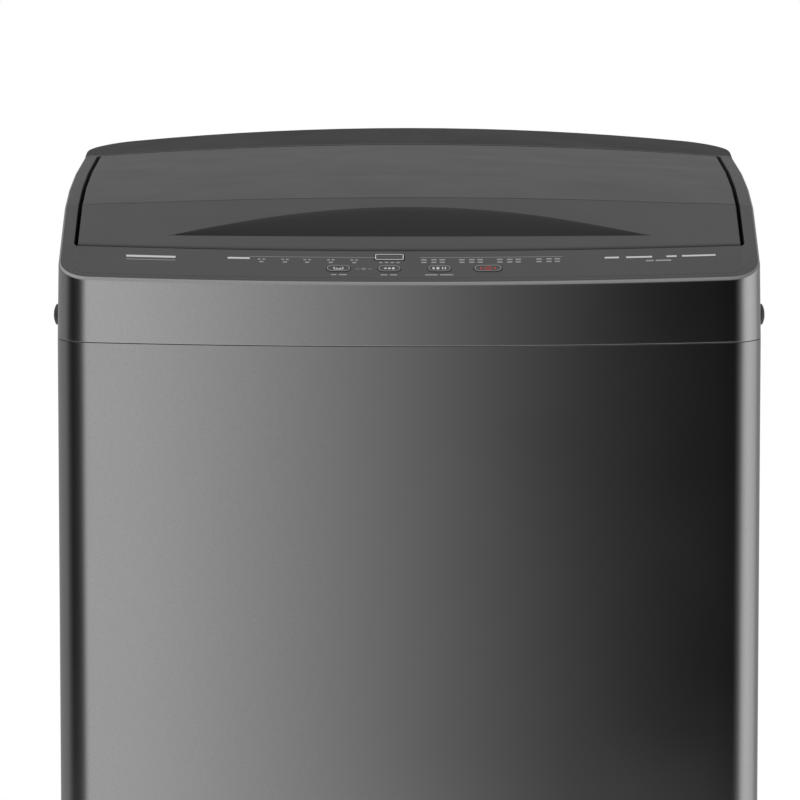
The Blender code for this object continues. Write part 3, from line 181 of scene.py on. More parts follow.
# ---- materials --------------------
class Shader:
    """A Principled material under construction, with helpers for the nodes that feed it."""

    def __init__(self, name, colour, roughness, metallic=0.0, specular=0.5):
        self.material = bpy.data.materials.new(name)
        self.material.use_nodes = True
        self.tree = self.material.node_tree
        self.principled = self.tree.nodes["Principled BSDF"]
        self.put(self.principled, "Base Color", (*colour, 1.0))
        self.put(self.principled, "Roughness", roughness)
        self.put(self.principled, "Metallic", metallic)
        self.put(self.principled, "Specular IOR Level", specular)
        self.colour, self.roughness = colour, roughness
        self.place = self.tree.nodes.new("ShaderNodeTexCoord").outputs["Object"]
        self.height = None

    def put(self, node, socket, value):
        if hasattr(value, "is_linked"):
            self.tree.links.new(value, node.inputs[socket])
        else:
            node.inputs[socket].default_value = value

    def stretch(self, scale):
        node = self.tree.nodes.new("ShaderNodeMapping")
        self.put(node, "Vector", self.place)
        self.put(node, "Scale", scale)
        return node.outputs["Vector"]

    def noise(self, scale, detail=3.0, stretch=None, distortion=0.0):
        node = self.tree.nodes.new("ShaderNodeTexNoise")
        self.put(node, "Vector", self.stretch(stretch) if stretch else self.place)
        self.put(node, "Scale", scale)
        self.put(node, "Detail", detail)
        self.put(node, "Distortion", distortion)
        return node.outputs["Fac"]

    def cells(self, scale):
        node = self.tree.nodes.new("ShaderNodeTexVoronoi")
        self.put(node, "Vector", self.place)
        self.put(node, "Scale", scale)
        return node.outputs["Distance"]

    def ranged(self, value, low, high, new_low, new_high):
        node = self.tree.nodes.new("ShaderNodeMapRange")
        for socket, number in zip(("From Min", "From Max", "To Min", "To Max"),
            (low, high, new_low, new_high)):
            self.put(node, socket, number)
        self.put(node, "Value", value)
        return node.outputs["Result"]

    def tint(self, value, dark, light):
        """Base colour that swings between two multiples of the shader's own colour."""
        node = self.tree.nodes.new("ShaderNodeMix")
        node.data_type = "RGBA"
        node.inputs["Factor"].default_value = 0.5
        self.tree.links.new(value, node.inputs["Factor"])
        node.inputs["A"].default_value = (*(c * dark for c in self.colour), 1.0)
        node.inputs["B"].default_value = (*(c * light for c in self.colour), 1.0)
        self.colour_output = node.outputs["Result"]
        self.put(self.principled, "Base Color", node.outputs["Result"])
        return self

    def rough(self, value, swing):
        low, high = self.roughness - swing, self.roughness + swing
        self.put(self.principled, "Roughness", self.ranged(value, 0.3, 0.7, low, high))
        return self

    def bump(self, value, distance, strength=0.5):
        node = self.tree.nodes.new("ShaderNodeBump")
        self.put(node, "Strength", strength)
        self.put(node, "Distance", distance)
        self.put(node, "Height", value)
        if self.height:
            self.put(node, "Normal", self.height)
        self.height = node.outputs["Normal"]
        self.put(self.principled, "Normal", self.height)
        return self


def metallic_paint(name, colour, roughness):
    """Silver-grey paint: aluminium flake under a lacquer, with a faint orange peel and dust."""
    look = Shader(name, colour, roughness, metallic=1.0)
    flake = look.cells(2600.0)
    look.tint(look.ranged(look.noise(1400.0, 2.0), 0.35, 0.65, 0.0, 1.0), 0.94, 1.06)
    look.rough(look.noise(5.0, 3.0), 0.02)
    look.bump(flake, 0.00002, 0.10)
    look.bump(look.noise(60.0, 2.0), 0.00012, 0.05)
    look.put(look.principled, "Coat Weight", 0.12)
    look.put(look.principled, "Coat Roughness", 0.10)
    return look.material


def moulded(name, colour, roughness, specular=0.4, grain=1500.0, deep=0.00005, vary=0.05):
    """Moulded plastic with the fine spark grain of its tool and a little uneven gloss."""
    look = Shader(name, colour, roughness, specular=specular)
    look.tint(look.noise(7.0, 4.0), 1 - vary, 1 + vary)
    look.rough(look.noise(16.0, 4.0), 0.05)
    look.bump(look.noise(grain, 3.0), deep, 0.35)
    look.bump(look.cells(grain * 0.6), deep, 0.15)
    return look.material


def brushed(name, colour, roughness, stretch):
    """Rolled or brushed metal: fine streaks along one direction."""
    look = Shader(name, colour, roughness, metallic=1.0)
    streaks = look.noise(40.0, 5.0, stretch=stretch)
    look.tint(streaks, 0.88, 1.08)
    look.rough(streaks, 0.08)
    look.bump(streaks, 0.00004, 0.25)
    return look.material


def plated(name, colour, roughness):
    """Zinc plated or cast metal: spangled, with soft stains."""
    look = Shader(name, colour, roughness, metallic=1.0)
    look.tint(look.cells(120.0), 0.86, 1.10)
    look.rough(look.noise(30.0, 4.0), 0.10)
    look.bump(look.noise(300.0, 3.0), 0.00005, 0.25)
    return look.material


def rubbery(name, colour):
    look = Shader(name, colour, 0.72, specular=0.3)
    look.tint(look.noise(40.0, 5.0), 0.75, 1.5)
    look.rough(look.noise(90.0, 3.0), 0.08)
    look.bump(look.noise(900.0, 3.0), 0.00008, 0.4)
    return look.material


def polished(name, colour, roughness=0.12):
    look = Shader(name, colour, roughness, specular=0.5)
    look.tint(look.noise(12.0, 2.0), 0.9, 1.1)
    look.rough(look.noise(25.0, 4.0), 0.03)
    look.bump(look.noise(180.0, 2.0), 0.00002, 0.05)
    return look.material


def printed(name, colour):
    look = Shader(name, colour, 0.5, specular=0.3)
    look.tint(look.noise(900.0, 2.0), 0.85, 1.1)
    look.rough(look.noise(600.0, 2.0), 0.05)
    return look.material


STEEL_PAINT = metallic_paint("cabinet_paint", (0.350, 0.351, 0.353), 0.20)
COVER_PAINT = metallic_paint("cover_paint", (0.375, 0.376, 0.378), 0.20)
LID_GREY = moulded("lid_grey", (0.128, 0.128, 0.129), 0.55, 0.12, vary=0.02)
# painted shade: the rear console's grey is darkened for the shade and dark reflection that its top shows at
# its angle
CONSOLE_SHADED_GREY = moulded("console_painted_shade", (0.044, 0.044, 0.0445), 0.55, 0.09, vary=0.02)
# painted shade: a darker copy of the lid's grey plastic, put on the finger recess and the lid's skirt where
# shade falls
PAINTED_SHADE_GREY = moulded("painted_recess_and_skirt_shade", (0.046, 0.046, 0.0465), 0.50, 0.25)
KEY_GREY = moulded("key_grey", (0.105, 0.105, 0.106), 0.50, 0.20, 2400.0)
# real dark plastic on the base, hinge posts, switch, coil and outlet, and painted shade on the cover's inside
DARK = moulded("dark_plastic", (0.028, 0.028, 0.029), 0.55, 0.3)
PALE = moulded("pale_plastic", (0.46, 0.47, 0.48), 0.42, 0.4, 900.0, 0.00008)
TUB_WHITE = moulded("tub_plastic", (0.72, 0.73, 0.74), 0.45, 0.4, 500.0, 0.00015)
DRUM_STEEL = brushed("drum_steel", (0.60, 0.60, 0.61), 0.24, (1.0, 1.0, 30.0))
SPRING_STEEL = brushed("spring_steel", (0.48, 0.48, 0.50), 0.30, (30.0, 30.0, 4.0))
ZINC = plated("zinc_plate", (0.52, 0.53, 0.54), 0.40)
ALUMINIUM = plated("cast_aluminium", (0.60, 0.61, 0.62), 0.48)
RUBBER = rubbery("black_rubber", (0.022, 0.022, 0.022))
SMOKED = polished("smoked_window", (0.060, 0.060, 0.062))
BOARD = moulded("circuit_board", (0.03, 0.16, 0.07), 0.35, 0.5, 700.0, 0.0001)
PRINT_WHITE = printed("print_white", (0.92, 0.92, 0.93))
PRINT_SOFT = printed("print_soft", (0.52, 0.52, 0.525))
PRINT_RED = printed("print_red", (0.80, 0.070, 0.050))
CAP_GREY = moulded("cap_grey", (0.070, 0.070, 0.071), 0.45, 0.3)
SHADOW = moulded("gap_dark", (0.012, 0.012, 0.012), 0.9, 0.05)


SPRINGS = ["front_left_spring", "front_right_spring", "rear_left_spring", "rear_right_spring"]


# ---- mesh helpers --------------------
def piece(name, points, faces, look, body, sharp=35, others=(), bands=None):
    """A piece of the object: mesh, smooth shading, materials and the body that it rides on.

    bands says which look each face takes: 0 is the first one, and the others follow.
    """
    mesh = bpy.data.meshes.new(name)
    mesh.from_pydata([tuple(p) for p in points], [], faces)
    if bands:
        mesh.polygons.foreach_set("material_index", bands)
    shape = bmesh.new()
    shape.from_mesh(mesh)
    bmesh.ops.remove_doubles(shape, verts=shape.verts, dist=1e-6)
    bmesh.ops.recalc_face_normals(shape, faces=shape.faces)
    shape.to_mesh(mesh)
    shape.free()
    mesh.shade_smooth()
    mesh.set_sharp_from_angle(angle=math.radians(sharp))
    mesh.materials.append(look)
    for other in others:
        mesh.materials.append(other)
    obj = bpy.data.objects.new(name, mesh)
    bpy.context.scene.collection.objects.link(obj)
    if body:
        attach(obj, body)
    return obj


def strips(loops, closed_loops=True, closed_stack=False, first=0):
    """Faces between equally long loops of points that start at index first."""
    count, faces = len(loops[0]), []
    for k in range(len(loops) if closed_stack else len(loops) - 1):
        a, b = first + k * count, first + (k + 1) % len(loops) * count
        for i in range(count if closed_loops else count - 1):
            j = (i + 1) % count
            faces.append((a + i, a + j, b + j, b + i))
    return faces


def skin(name, loops, look, body, closed_loops=True, closed_stack=False, caps=False, sharp=35):
    points = [p for loop in loops for p in loop]
    faces = strips(loops, closed_loops, closed_stack)
    if caps:
        faces.append(tuple(range(len(loops[0]))))
        faces.append(tuple(range(len(points) - len(loops[0]), len(points))))
    return piece(name, points, faces, look, body, sharp)


def turned(name, profile, look, body, at=(0, 0, 0), turn=None, segments=96, closed=True, sharp=35):
    """A profile of (radius, z) turned round Z, then turned and moved into place."""
    matrix = Matrix.Translation(at) @ (turn or Matrix.Identity(4))
    loops = []
    for radius, z in profile:
        ring = [
            matrix @ Vector((radius * math.cos(a), radius * math.sin(a), z))
            for a in spread(0, 2 * math.pi, segments)[:-1]
        ]
        loops.append(ring)
    return skin(name, loops, look, body, closed_stack=closed, sharp=sharp)


def rounded(profile, radius, steps=3, closed=True):
    """The profile with its corners rounded off. A corner takes less where its sides are short."""
    made, count = [], len(profile)
    for k, corner in enumerate(profile):
        if not closed and k in (0, count - 1):
            made.append(corner)
            continue
        here, before, after = Vector(corner), Vector(profile[k - 1]), Vector(profile[(k + 1) % count])
        reach = min(radius, (before - here).length * 0.45, (after - here).length * 0.45)
        start = here + (before - here).normalized() * reach
        end = here + (after - here).normalized() * reach
        for s in range(steps + 1):
            t = s / steps
            made.append(tuple((1 - t) ** 2 * start + 2 * t * (1 - t) * here + t**2 * end))
    return made


def spread(low, high, parts):
    return [low + (high - low) * k / parts for k in range(parts + 1)]


def baked(obj):
    """Applies the object's modifiers and drops the cutters that they used."""
    cutters = [m.object for m in obj.modifiers if m.type == "BOOLEAN"]
    graph = bpy.context.evaluated_depsgraph_get()
    mesh = bpy.data.meshes.new_from_object(obj.evaluated_get(graph))
    obj.modifiers.clear()
    old, obj.data = obj.data, mesh
    bpy.data.meshes.remove(old)
    for cutter in cutters:
        bpy.data.objects.remove(cutter)
    mesh.shade_smooth()
    mesh.set_sharp_from_angle(angle=math.radians(35))
    return obj


def boolean(obj, cutter, operation="DIFFERENCE"):
    modifier = obj.modifiers.new("shape", "BOOLEAN")
    modifier.operation = operation
    modifier.solver = "EXACT"
    modifier.object = cutter


def loose(name, loops, closed_stack=False):
    """A helper solid that rides on nothing, used as a cutter and then removed."""
    return skin(name, loops, SHADOW, None, closed_stack=closed_stack, caps=not closed_stack)


def box_loops(low, high):
    plan = ((low[0], low[1]), (high[0], low[1]), (high[0], high[1]), (low[0], high[1]))
    return [[(x, y, z) for x, y in plan] for z in (low[2], high[2])]


def rectangle(width, height, radius, steps=6):
    points = []
    for quarter in range(4):
        across = (width / 2 - radius) * (1 if quarter in (0, 3) else -1)
        up = (height / 2 - radius) * (1 if quarter in (0, 1) else -1)
        for a in spread(math.pi / 2 * quarter, math.pi / 2 * (quarter + 1), steps):
            points.append((across + radius * math.cos(a), up + radius * math.sin(a)))
    return points


# ---- the crowned top --------------------
def bow(x):
    return BOW_RADIUS - math.sqrt(BOW_RADIUS**2 - x * x)


def knot_value(depth, column):
    depth = min(max(depth, TOP_KNOTS[0][0]), TOP_KNOTS[-1][0])
    for before, after in zip(TOP_KNOTS, TOP_KNOTS[1:]):
        if depth <= after[0]:
            share = (depth - before[0]) / (after[0] - before[0])
            return before[column] + share * (after[column] - before[column])
    return TOP_KNOTS[-1][column]


def bow_share(depth):
    return min(max((LID_REAR - depth) / (LID_REAR - CREASE), 0), 1)


def top_point(x, depth, drop=0.0):
    y = depth - DEPTH / 2 + bow(x) * bow_share(depth)
    z = SEAM_Z + knot_value(depth, 1) - knot_value(depth, 2) * (x / CROWN_SPAN) ** 2
    return Vector((x, y, z - drop))


def top_z(x, y):
    depth = y + DEPTH / 2
    for _ in range(6):
        depth = y + DEPTH / 2 - bow(x) * bow_share(depth)
    return top_point(x, depth).z


def outline(half, front, back, front_radius, rear_radius, inset=0.0, counts=(40, 12, 16), stations=()):
    """Plan outline with a bowed front, counter-clockwise from above."""
    across, corner, rear = counts
    half, front, back = half - inset, front + inset, back - inset
    r, rr = max(front_radius - inset, 0.001), max(rear_radius - inset, 0.001)
    big = BOW_RADIUS - inset
    middle = half - r
    angle = math.asin(middle / (big - r))
    centre_y = front + big - math.sqrt((big - r) ** 2 - middle**2)
    right = [(middle + r * math.sin(a), centre_y - r * math.cos(a))
        for a in spread(angle, math.pi / 2, corner)]
    right += [(half, y) for y in stations]
    right += [
        (half - rr + rr * math.cos(a), back - rr + rr * math.sin(a)) for a in spread(0, math.pi / 2, corner)
    ]
    front_arc = [(big * math.sin(a), front + big - big * math.cos(a))
        for a in spread(-angle, angle, across)[1:-1]]
    rear_line = [(x, back) for x in spread(half - rr, rr - half, rear)[1:-1]]
    left = [(-x, y) for x, y in reversed(right)]
    return front_arc + right + rear_line + left


def ledge_z(y):
    share = (y + DEPTH / 2) / DEPTH
    return SEAM_Z + 0.033 + 0.024 * share


# ---- cabinet --------------------
def make_cabinet():
    """The steel wrap, with folded edges at the seam and the skirt, and two flanges behind."""
    flange_x = WIDTH / 2 - REAR_CORNER_RADIUS - REAR_FLANGE
    low, high = SKIRT_Z + 0.020, SEAM_Z - GAP
    section = [
        (0, low + 0.0006), (0, low + 0.0020), (0, high - 0.0020), (0, high - 0.0006), (0.0001, high - 0.0002),
        (0.0004, high), (SHEET, high), (SHEET, low), (0.0004, low), (0.0001, low + 0.0002),
    ]
    columns = []
    for inset, z in section:
        ring = outline(WIDTH / 2, -DEPTH / 2, DEPTH / 2, CORNER_RADIUS, REAR_CORNER_RADIUS, inset,
            (48, 14, 2))
        start = next(k for k, p in enumerate(ring) if abs(p[0]) < 1e-6 and p[1] > 0)
        ring = ring[start + 1:] + ring[:start]
        back = DEPTH / 2 - inset
        columns.append([(-flange_x, back, z)] + [(x, y, z) for x, y in ring] + [(flange_x, back, z)])
    cabinet = skin("cabinet_skin", columns, STEEL_PAINT, "cabinet_body", closed_loops=False,
        closed_stack=True)
    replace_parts(cabinet, "cabinet")


def make_back():
    """The service panel: sunken field, pressed ribs, vents, and its screws."""
    half = WIDTH / 2 - REAR_CORNER_RADIUS - 0.002
    low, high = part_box("back_panel")[0][2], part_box("back_panel")[1][2]
    inside, rows, columns = DEPTH / 2 - SHEET - GAP, 150, 110

    def relief(x, z):
        edge = min(half - abs(x), z - low, high - z)
        sunk = PANEL_SINK * min(max((edge - 0.034) / 0.006, 0), 1)
        rib = 0.0
        for centre in (-0.10, 0.0, 0.10):
            across = abs(x - centre) / 0.012
            along = min(max((min(z - low, high - z) - 0.16) / 0.02, 0), 1)
            rib = max(rib, max(1 - across**2, 0) * along)
        for k in range(7):
            level = high - 0.075 - 0.012 * k
            if abs(x + 0.085) < 0.055:
                rib = max(rib, max(1 - (abs(z - level) / 0.0035) ** 2, 0) * 0.8)
        return -sunk + 0.0026 * rib

    grid = [
        [(x, inside + relief(x, z), z) for x in spread(-half, half, columns)] for z in spread(low, high, rows)
    ]
    panel = skin("back_panel_skin", grid, ZINC, "cabinet_body", closed_loops=False, sharp=50)
    panel.modifiers.new("sheet", "SOLIDIFY").thickness = 0.0010
    for radius, x, z in ((0.0142, DRAIN_X, DRAIN_Z), (0.0118, GLAND_X, GLAND_Z)):
        tube = [
            [(x + radius * math.cos(a), y, z + radius * math.sin(a)) for a in spread(0, 2 * math.pi, 32)[:-1]]
            for y in (DEPTH / 2 - 0.03, DEPTH / 2 + 0.03)
        ]
        boolean(panel, loose("opening", tube))
    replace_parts(baked(panel), "back_panel")
    back = Matrix.Rotation(-math.pi / 2, 4, "X")
    for side in (-1, 1):
        for k, z in enumerate(spread(low + 0.03, high - 0.03, 5)):
            screw(f"back_screw_{side + 1}_{k}", (side * (half - 0.008), inside - 0.0014, z), back, 0.0042)


def screw(name, at, turn, radius):
    """A pan head screw with a cross recess. Its head stands along the turned +Z."""
    matrix = Matrix.Translation(at) @ turn
    segments, loops = 24, []
    profile = ((1.0, 0.0), (1.0, 0.25), (0.85, 0.50), (0.62, 0.62), (0.30, 0.66), (0.26, 0.66))
    for share, rise in profile:
        loops.append([
            matrix @ Vector((radius * share * math.cos(a), radius * share * math.sin(a), radius * rise))
            for a in spread(0, 2 * math.pi, segments)[:-1]
        ])
    cross = []
    for a in spread(0, 2 * math.pi, segments)[:-1]:
        reach = 0.26 if abs(math.sin(2 * a)) < 0.55 else 0.10
        cross.append(matrix @ Vector((radius * reach * math.cos(a), radius * reach * math.sin(a),
            radius * 0.25)))
    loops.append(cross)
    made = skin(name, loops, ZINC, "cabinet_body", caps=True, sharp=40)


# ---- top cover and console --------------------
def side_stations(first, last, parts=24):
    """Points along a side wall: close together at the crease, even behind it."""
    crease_y = top_point(LID_HALF, CREASE).y
    fine = [crease_y + d for d in (-0.012, -0.004, -0.0015, 0.0, 0.0015, 0.004)]
    return fine + spread(crease_y + 0.012, last, parts) if first is None else spread(first, last, parts + 6)


def cover_loops():
    """The cover's closed section: seam, shoulder, the wall beside the lid, the ledge and the mouth."""
    rail_half, rail_front = LID_HALF + LID_SIDE_GAP, GAP_LINE - LID_FRONT_GAP - 0.0006 - DEPTH / 2
    rail_back = LID_REAR + LID_REAR_GAP - DEPTH / 2
    outer_at, rail_at = side_stations(None, 0.238), side_stations(None, rail_back - 0.0075)
    mouth_at = side_stations(-0.075, MOUTH_REAR_Y - 0.036)

    def outer(inset, height):
        plan = outline(WIDTH / 2, -DEPTH / 2, DEPTH / 2, CORNER_RADIUS, REAR_CORNER_RADIUS, inset,
            stations=outer_at)
        return [(x, y, height(x, y)) for x, y in plan]

    def rail(inset, height):
        plan = outline(rail_half, rail_front, rail_back, 0.006, 0.006, -inset, stations=rail_at)
        return [(x, y, height(x, y)) for x, y in plan]

    def mouth(inset, height):
        plan = outline(MOUTH_HALF, MOUTH_FRONT_Y, MOUTH_REAR_Y, MOUTH_RADIUS, 0.030, -inset,
            stations=mouth_at)
        return [(x, y, height(x, y)) for x, y in plan]

    def below_top(drop):
        return lambda x, y: top_z(x, y) - drop

    def below_ledge(drop):
        return lambda x, y: ledge_z(y) - drop

    def flat(z):
        return lambda x, y: z

    def wall_at(share):
        return lambda x, y: SEAM_Z + share * (top_z(x, y) - SHOULDER - SEAM_Z)

    wall, draft, r = COVER_WALL, COVER_DRAFT, SHOULDER
    loops = [outer(0.0004, flat(SEAM_Z)), outer(0.0001, flat(SEAM_Z + 0.0001)),
        outer(0, flat(SEAM_Z + 0.0004))]
    loops += [outer(draft * share, wall_at(share)) for share in (0.04, 0.95)]
    for a in spread(0, math.pi / 2, 6):
        loops.append(outer(draft + r * (1 - math.cos(a)), below_top(r * (1 - math.sin(a)))))
    loops += [rail(inset, below_top(drop)) for inset, drop in ((0.0010, 0), (0.0003, 0.0003), (0, 0.0010))]
    loops += [rail(0, below_ledge(-0.002)), rail(-0.002, below_ledge(0))]
    loops += [mouth(inset, below_ledge(drop)) for inset,
        drop in ((0.008, 0), (0.003, 0.0008), (0.0008, 0.0028), (0, 0.006))]
    loops += [mouth(-0.004, flat(MOUTH_Z + 0.0008)), mouth(-0.0034, flat(MOUTH_Z)),
        mouth(wall - 0.004, flat(MOUTH_Z))]
    loops.append(mouth(wall + 0.001, below_ledge(wall + 0.004)))
    loops += [rail(wall, below_ledge(wall)), rail(wall, below_top(wall))]
    loops += [outer(draft + r, below_top(wall)), outer(draft + wall, below_top(r)), outer(wall, flat(SEAM_Z))]
    return loops


def fascia_low(x, front=FASCIA_FRONT):
    beyond = max(abs(x) - (FASCIA_HALF - FASCIA_RADIUS), 0)
    return front + FASCIA_RADIUS - math.sqrt(FASCIA_RADIUS**2 - min(beyond, FASCIA_RADIUS * 0.9999) ** 2)


def fascia_loops(grow, section):
    """Columns across the panel. The section gives (share of depth, drop) pairs round each column."""
    half, bend = FASCIA_HALF + grow, FASCIA_HALF - FASCIA_RADIUS
    ends = [bend + FASCIA_RADIUS * math.sin(a) for a in spread(0, math.pi / 2, 8)[1:-1]]
    xs = [-half] + [-e for e in ends[::-1]] + spread(-bend, bend, 60) + ends + [half]
    loops = []
    for x in xs:
        low, high = fascia_low(min(max(x, -FASCIA_HALF),
            FASCIA_HALF)) - grow, GAP_LINE - LID_FRONT_GAP - 0.0003 + grow
        loops.append([top_point(x, low + share * (high - low) + shift, drop) for share, shift,
            drop in section])
    return loops


def panel_matrix(x, depth, lift=0.0):
    here, across = top_point(x,
        depth), (top_point(x + 0.002, depth) - top_point(x - 0.002, depth)).normalized()
    slope = (top_point(x, depth + 0.002) - top_point(x, depth - 0.002)).normalized()
    out = across.cross(slope).normalized()
    slope = out.cross(across)
    here = here + out * lift
    columns = (across, slope, out, here)
    return Matrix([[c[row] for c in columns] for row in range(3)] + [[0, 0, 0, 1]])


def panel_prism(x, depth, width, height, radius, low, high):
    matrix = panel_matrix(x, depth)
    return [[matrix @ Vector((u, v, z)) for u, v in rectangle(width, height, radius)] for z in (low, high)]


def make_top():
    loops = cover_loops()
    points, faces = [p for loop in loops for p in loop], strips(loops, closed_stack=True)
    strip = [k // len(loops[0]) for k in range(len(faces))]
    # the strips after TOP_BANDS, from the rail wall by the lid's gap down into the cover, take DARK as
    # painted shade
    bands = [0 if k < PAINTED_BANDS else 1 if k < TOP_BANDS else 2 for k in strip]
    cover = piece("cover_skin", points, faces, COVER_PAINT, "cabinet_body", others=(LID_GREY, DARK),
        bands=bands)
    console = skin("console_skin", loops, CONSOLE_SHADED_GREY, "cabinet_body", closed_stack=True)
    boolean(cover, loose("console_space", box_loops((-1, CONSOLE_Y, CONSOLE_Z), (1, 1, 1.3))))
    corners = ((0, 0, -0.02), (1, 0, -0.02), (1, 0, FASCIA_THICK + GAP), (0, 0, FASCIA_THICK + GAP))
    boolean(cover, loose("fascia_pocket", fascia_loops(GAP, corners)))
    middle = (KEYS["power_button"][0] + KEYS["program_button"][0]) / 2
    width = KEYS["power_button"][0] - KEYS["program_button"][0] + 0.034
    boolean(cover, loose("key_window", panel_prism(middle, 0.0285, width, 0.029, 0.003, -0.012, 0.01)))
    drawer_low = (DRAWER_X - DRAWER_WIDTH / 2 - 0.001, MOUTH_REAR_Y - 0.02, DRAWER_Z - 0.001)
    drawer_high = (DRAWER_X + DRAWER_WIDTH / 2 + 0.001, MOUTH_REAR_Y + 0.02, DRAWER_Z + DRAWER_HEIGHT + 0.001)
    boolean(cover, loose("drawer_window", box_loops(drawer_low, drawer_high)))
    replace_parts(baked(cover), "top_cover")
    boolean(console, loose("console_bounds", box_loops((-1, CONSOLE_Y + GAP, CONSOLE_Z + GAP), (1, 1, 1.3))),
        "INTERSECT")
    inlet_low = (INLET_X - 0.024, DEPTH / 2 - 0.02, INLET_Z - 0.020)
    inlet_high = (INLET_X + 0.024, DEPTH / 2 + 0.02, INLET_Z + 0.020)
    boolean(console, loose("inlet_window", box_loops(inlet_low, inlet_high)))
    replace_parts(baked(console), "rear_console")


def make_fascia():
    thick = FASCIA_THICK
    section = ((0, 0, thick), (0, 0, 0.0004), (0, 0.0003, 0.0), (1, -0.0004, 0.0), (1, 0, 0.0005),
        (1, 0, thick))
    fascia = skin("fascia_skin", fascia_loops(0.0, section), LID_GREY, "cabinet_body", caps=True)
    for name, (x, width) in KEYS.items():
        wide, tall = width + 2 * KEY_GAP, KEY_HEIGHT + 2 * KEY_GAP
        boolean(fascia, loose(name + "_hole",
            panel_prism(x, KEY_DEPTH, wide, tall, tall / 2 - 0.0001, -0.01, 0.01)))
    width, height = DISPLAY_SIZE
    boolean(fascia, loose("display_hole",
        panel_prism(DISPLAY_X, DISPLAY_DEPTH, width + 0.0006, height + 0.0006, 0.0022, -0.01, 0.01)))
    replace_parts(baked(fascia), "control_fascia")
    for name, (x, width) in KEYS.items():
        make_key(name, x, width)
    matrix = panel_matrix(DISPLAY_X, DISPLAY_DEPTH)
    rings = ((0.0016, 0.0001), (0.0004, 0.0001), (0.0001, -0.0001), (0, -0.0004), (0, -thick))
    loops = [
        [matrix @ Vector((u, v, z)) for u, v in rectangle(width - 2 * i, height - 2 * i, 0.002)] for i,
        z in rings
    ]
    window = skin("display_skin", loops, SMOKED, "cabinet_body", caps=True)
    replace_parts(window, "display_window")


def make_key(name, x, width):
    """A pill key with a slightly hollow crown and a rounded rim."""
    matrix, height = panel_matrix(x, KEY_DEPTH), KEY_HEIGHT
    rings = (
        (0.0036, 0.00045), (0.0024, 0.00050), (0.0012, 0.00060), (0.0006, 0.00056), (0.0002, 0.00035),
        (0, 0.0),
        (0, -0.0030),
    )
    loops = []
    for inset, z in rings:
        w, h = width - 2 * inset, height - 2 * inset
        loops.append([matrix @ Vector((u, v, z)) for u, v in rectangle(w, h, h / 2 - 0.0001, 8)])
    key = skin(name + "_skin", loops, KEY_GREY, name + "_body", caps=True)
    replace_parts(key, name)


# ---- printing on the panel --------------------
class Print:
    """Thin printed shapes on the panel, in metres across and up the slope from a key point."""

    def __init__(self):
        self.points, self.faces = [], []

    def add(self, shape, hole=None):
        start = len(self.points)
        self.points += shape
        if hole is None:
            self.faces.append(tuple(range(start, start + len(shape))))
            return
        self.points += hole
        count = len(shape)
        for i in range(count):
            j = (i + 1) % count
            self.faces.append((start + i, start + j, start + count + j, start + count + i))

    def bar(self, x, depth, width, height, radius=0.0):
        if width > 0.008:
            edges, first = spread(-width / 2, width / 2, math.ceil(width / 0.004)), len(self.points)
            self.points += [(x + u, depth + v) for u in edges for v in (-height / 2, height / 2)]
            self.faces += [(first + 2 * k, first + 2 * k + 2, first + 2 * k + 3, first + 2 * k + 1)
                           for k in range(len(edges) - 1)]
            return
        radius = min(radius or height * 0.2, width * 0.49, height * 0.49)
        self.add([(x + u, depth + v) for u, v in rectangle(width, height, radius, 3)])

    def ring(self, x, depth, width, height, line, radius):
        radius = min(radius, width * 0.499, height * 0.499)
        inner = max(radius - line, 0.00005)
        outside = rectangle(width, height, radius, 8)
        inside = rectangle(width - 2 * line, height - 2 * line, inner, 8)
        self.add([(x + u, depth + v) for u, v in outside], [(x + u, depth + v) for u, v in inside])

    def arc(self, x, depth, radius, line, start, end, squash=1.0):
        angles = spread(math.radians(start), math.radians(end), 16)
        outer = [(x + radius * math.cos(a), depth + radius * squash * math.sin(a)) for a in angles]
        small = radius - line
        inner = [(x + small * math.cos(a), depth + small * squash * math.sin(a)) for a in angles]
        first = len(self.points)
        self.points += outer + inner
        count = len(angles)
        self.faces += [(first + i, first + i + 1, first + count + i + 1, first + count + i)
            for i in range(count - 1)]

    def make(self, name, look, body, lift=PRINT):
        points = []
        for x, depth in self.points:
            matrix = panel_matrix(x, depth)
            points.append(matrix @ Vector((0, 0, lift)))
        made = piece(name, points, self.faces, look, body)
        return made


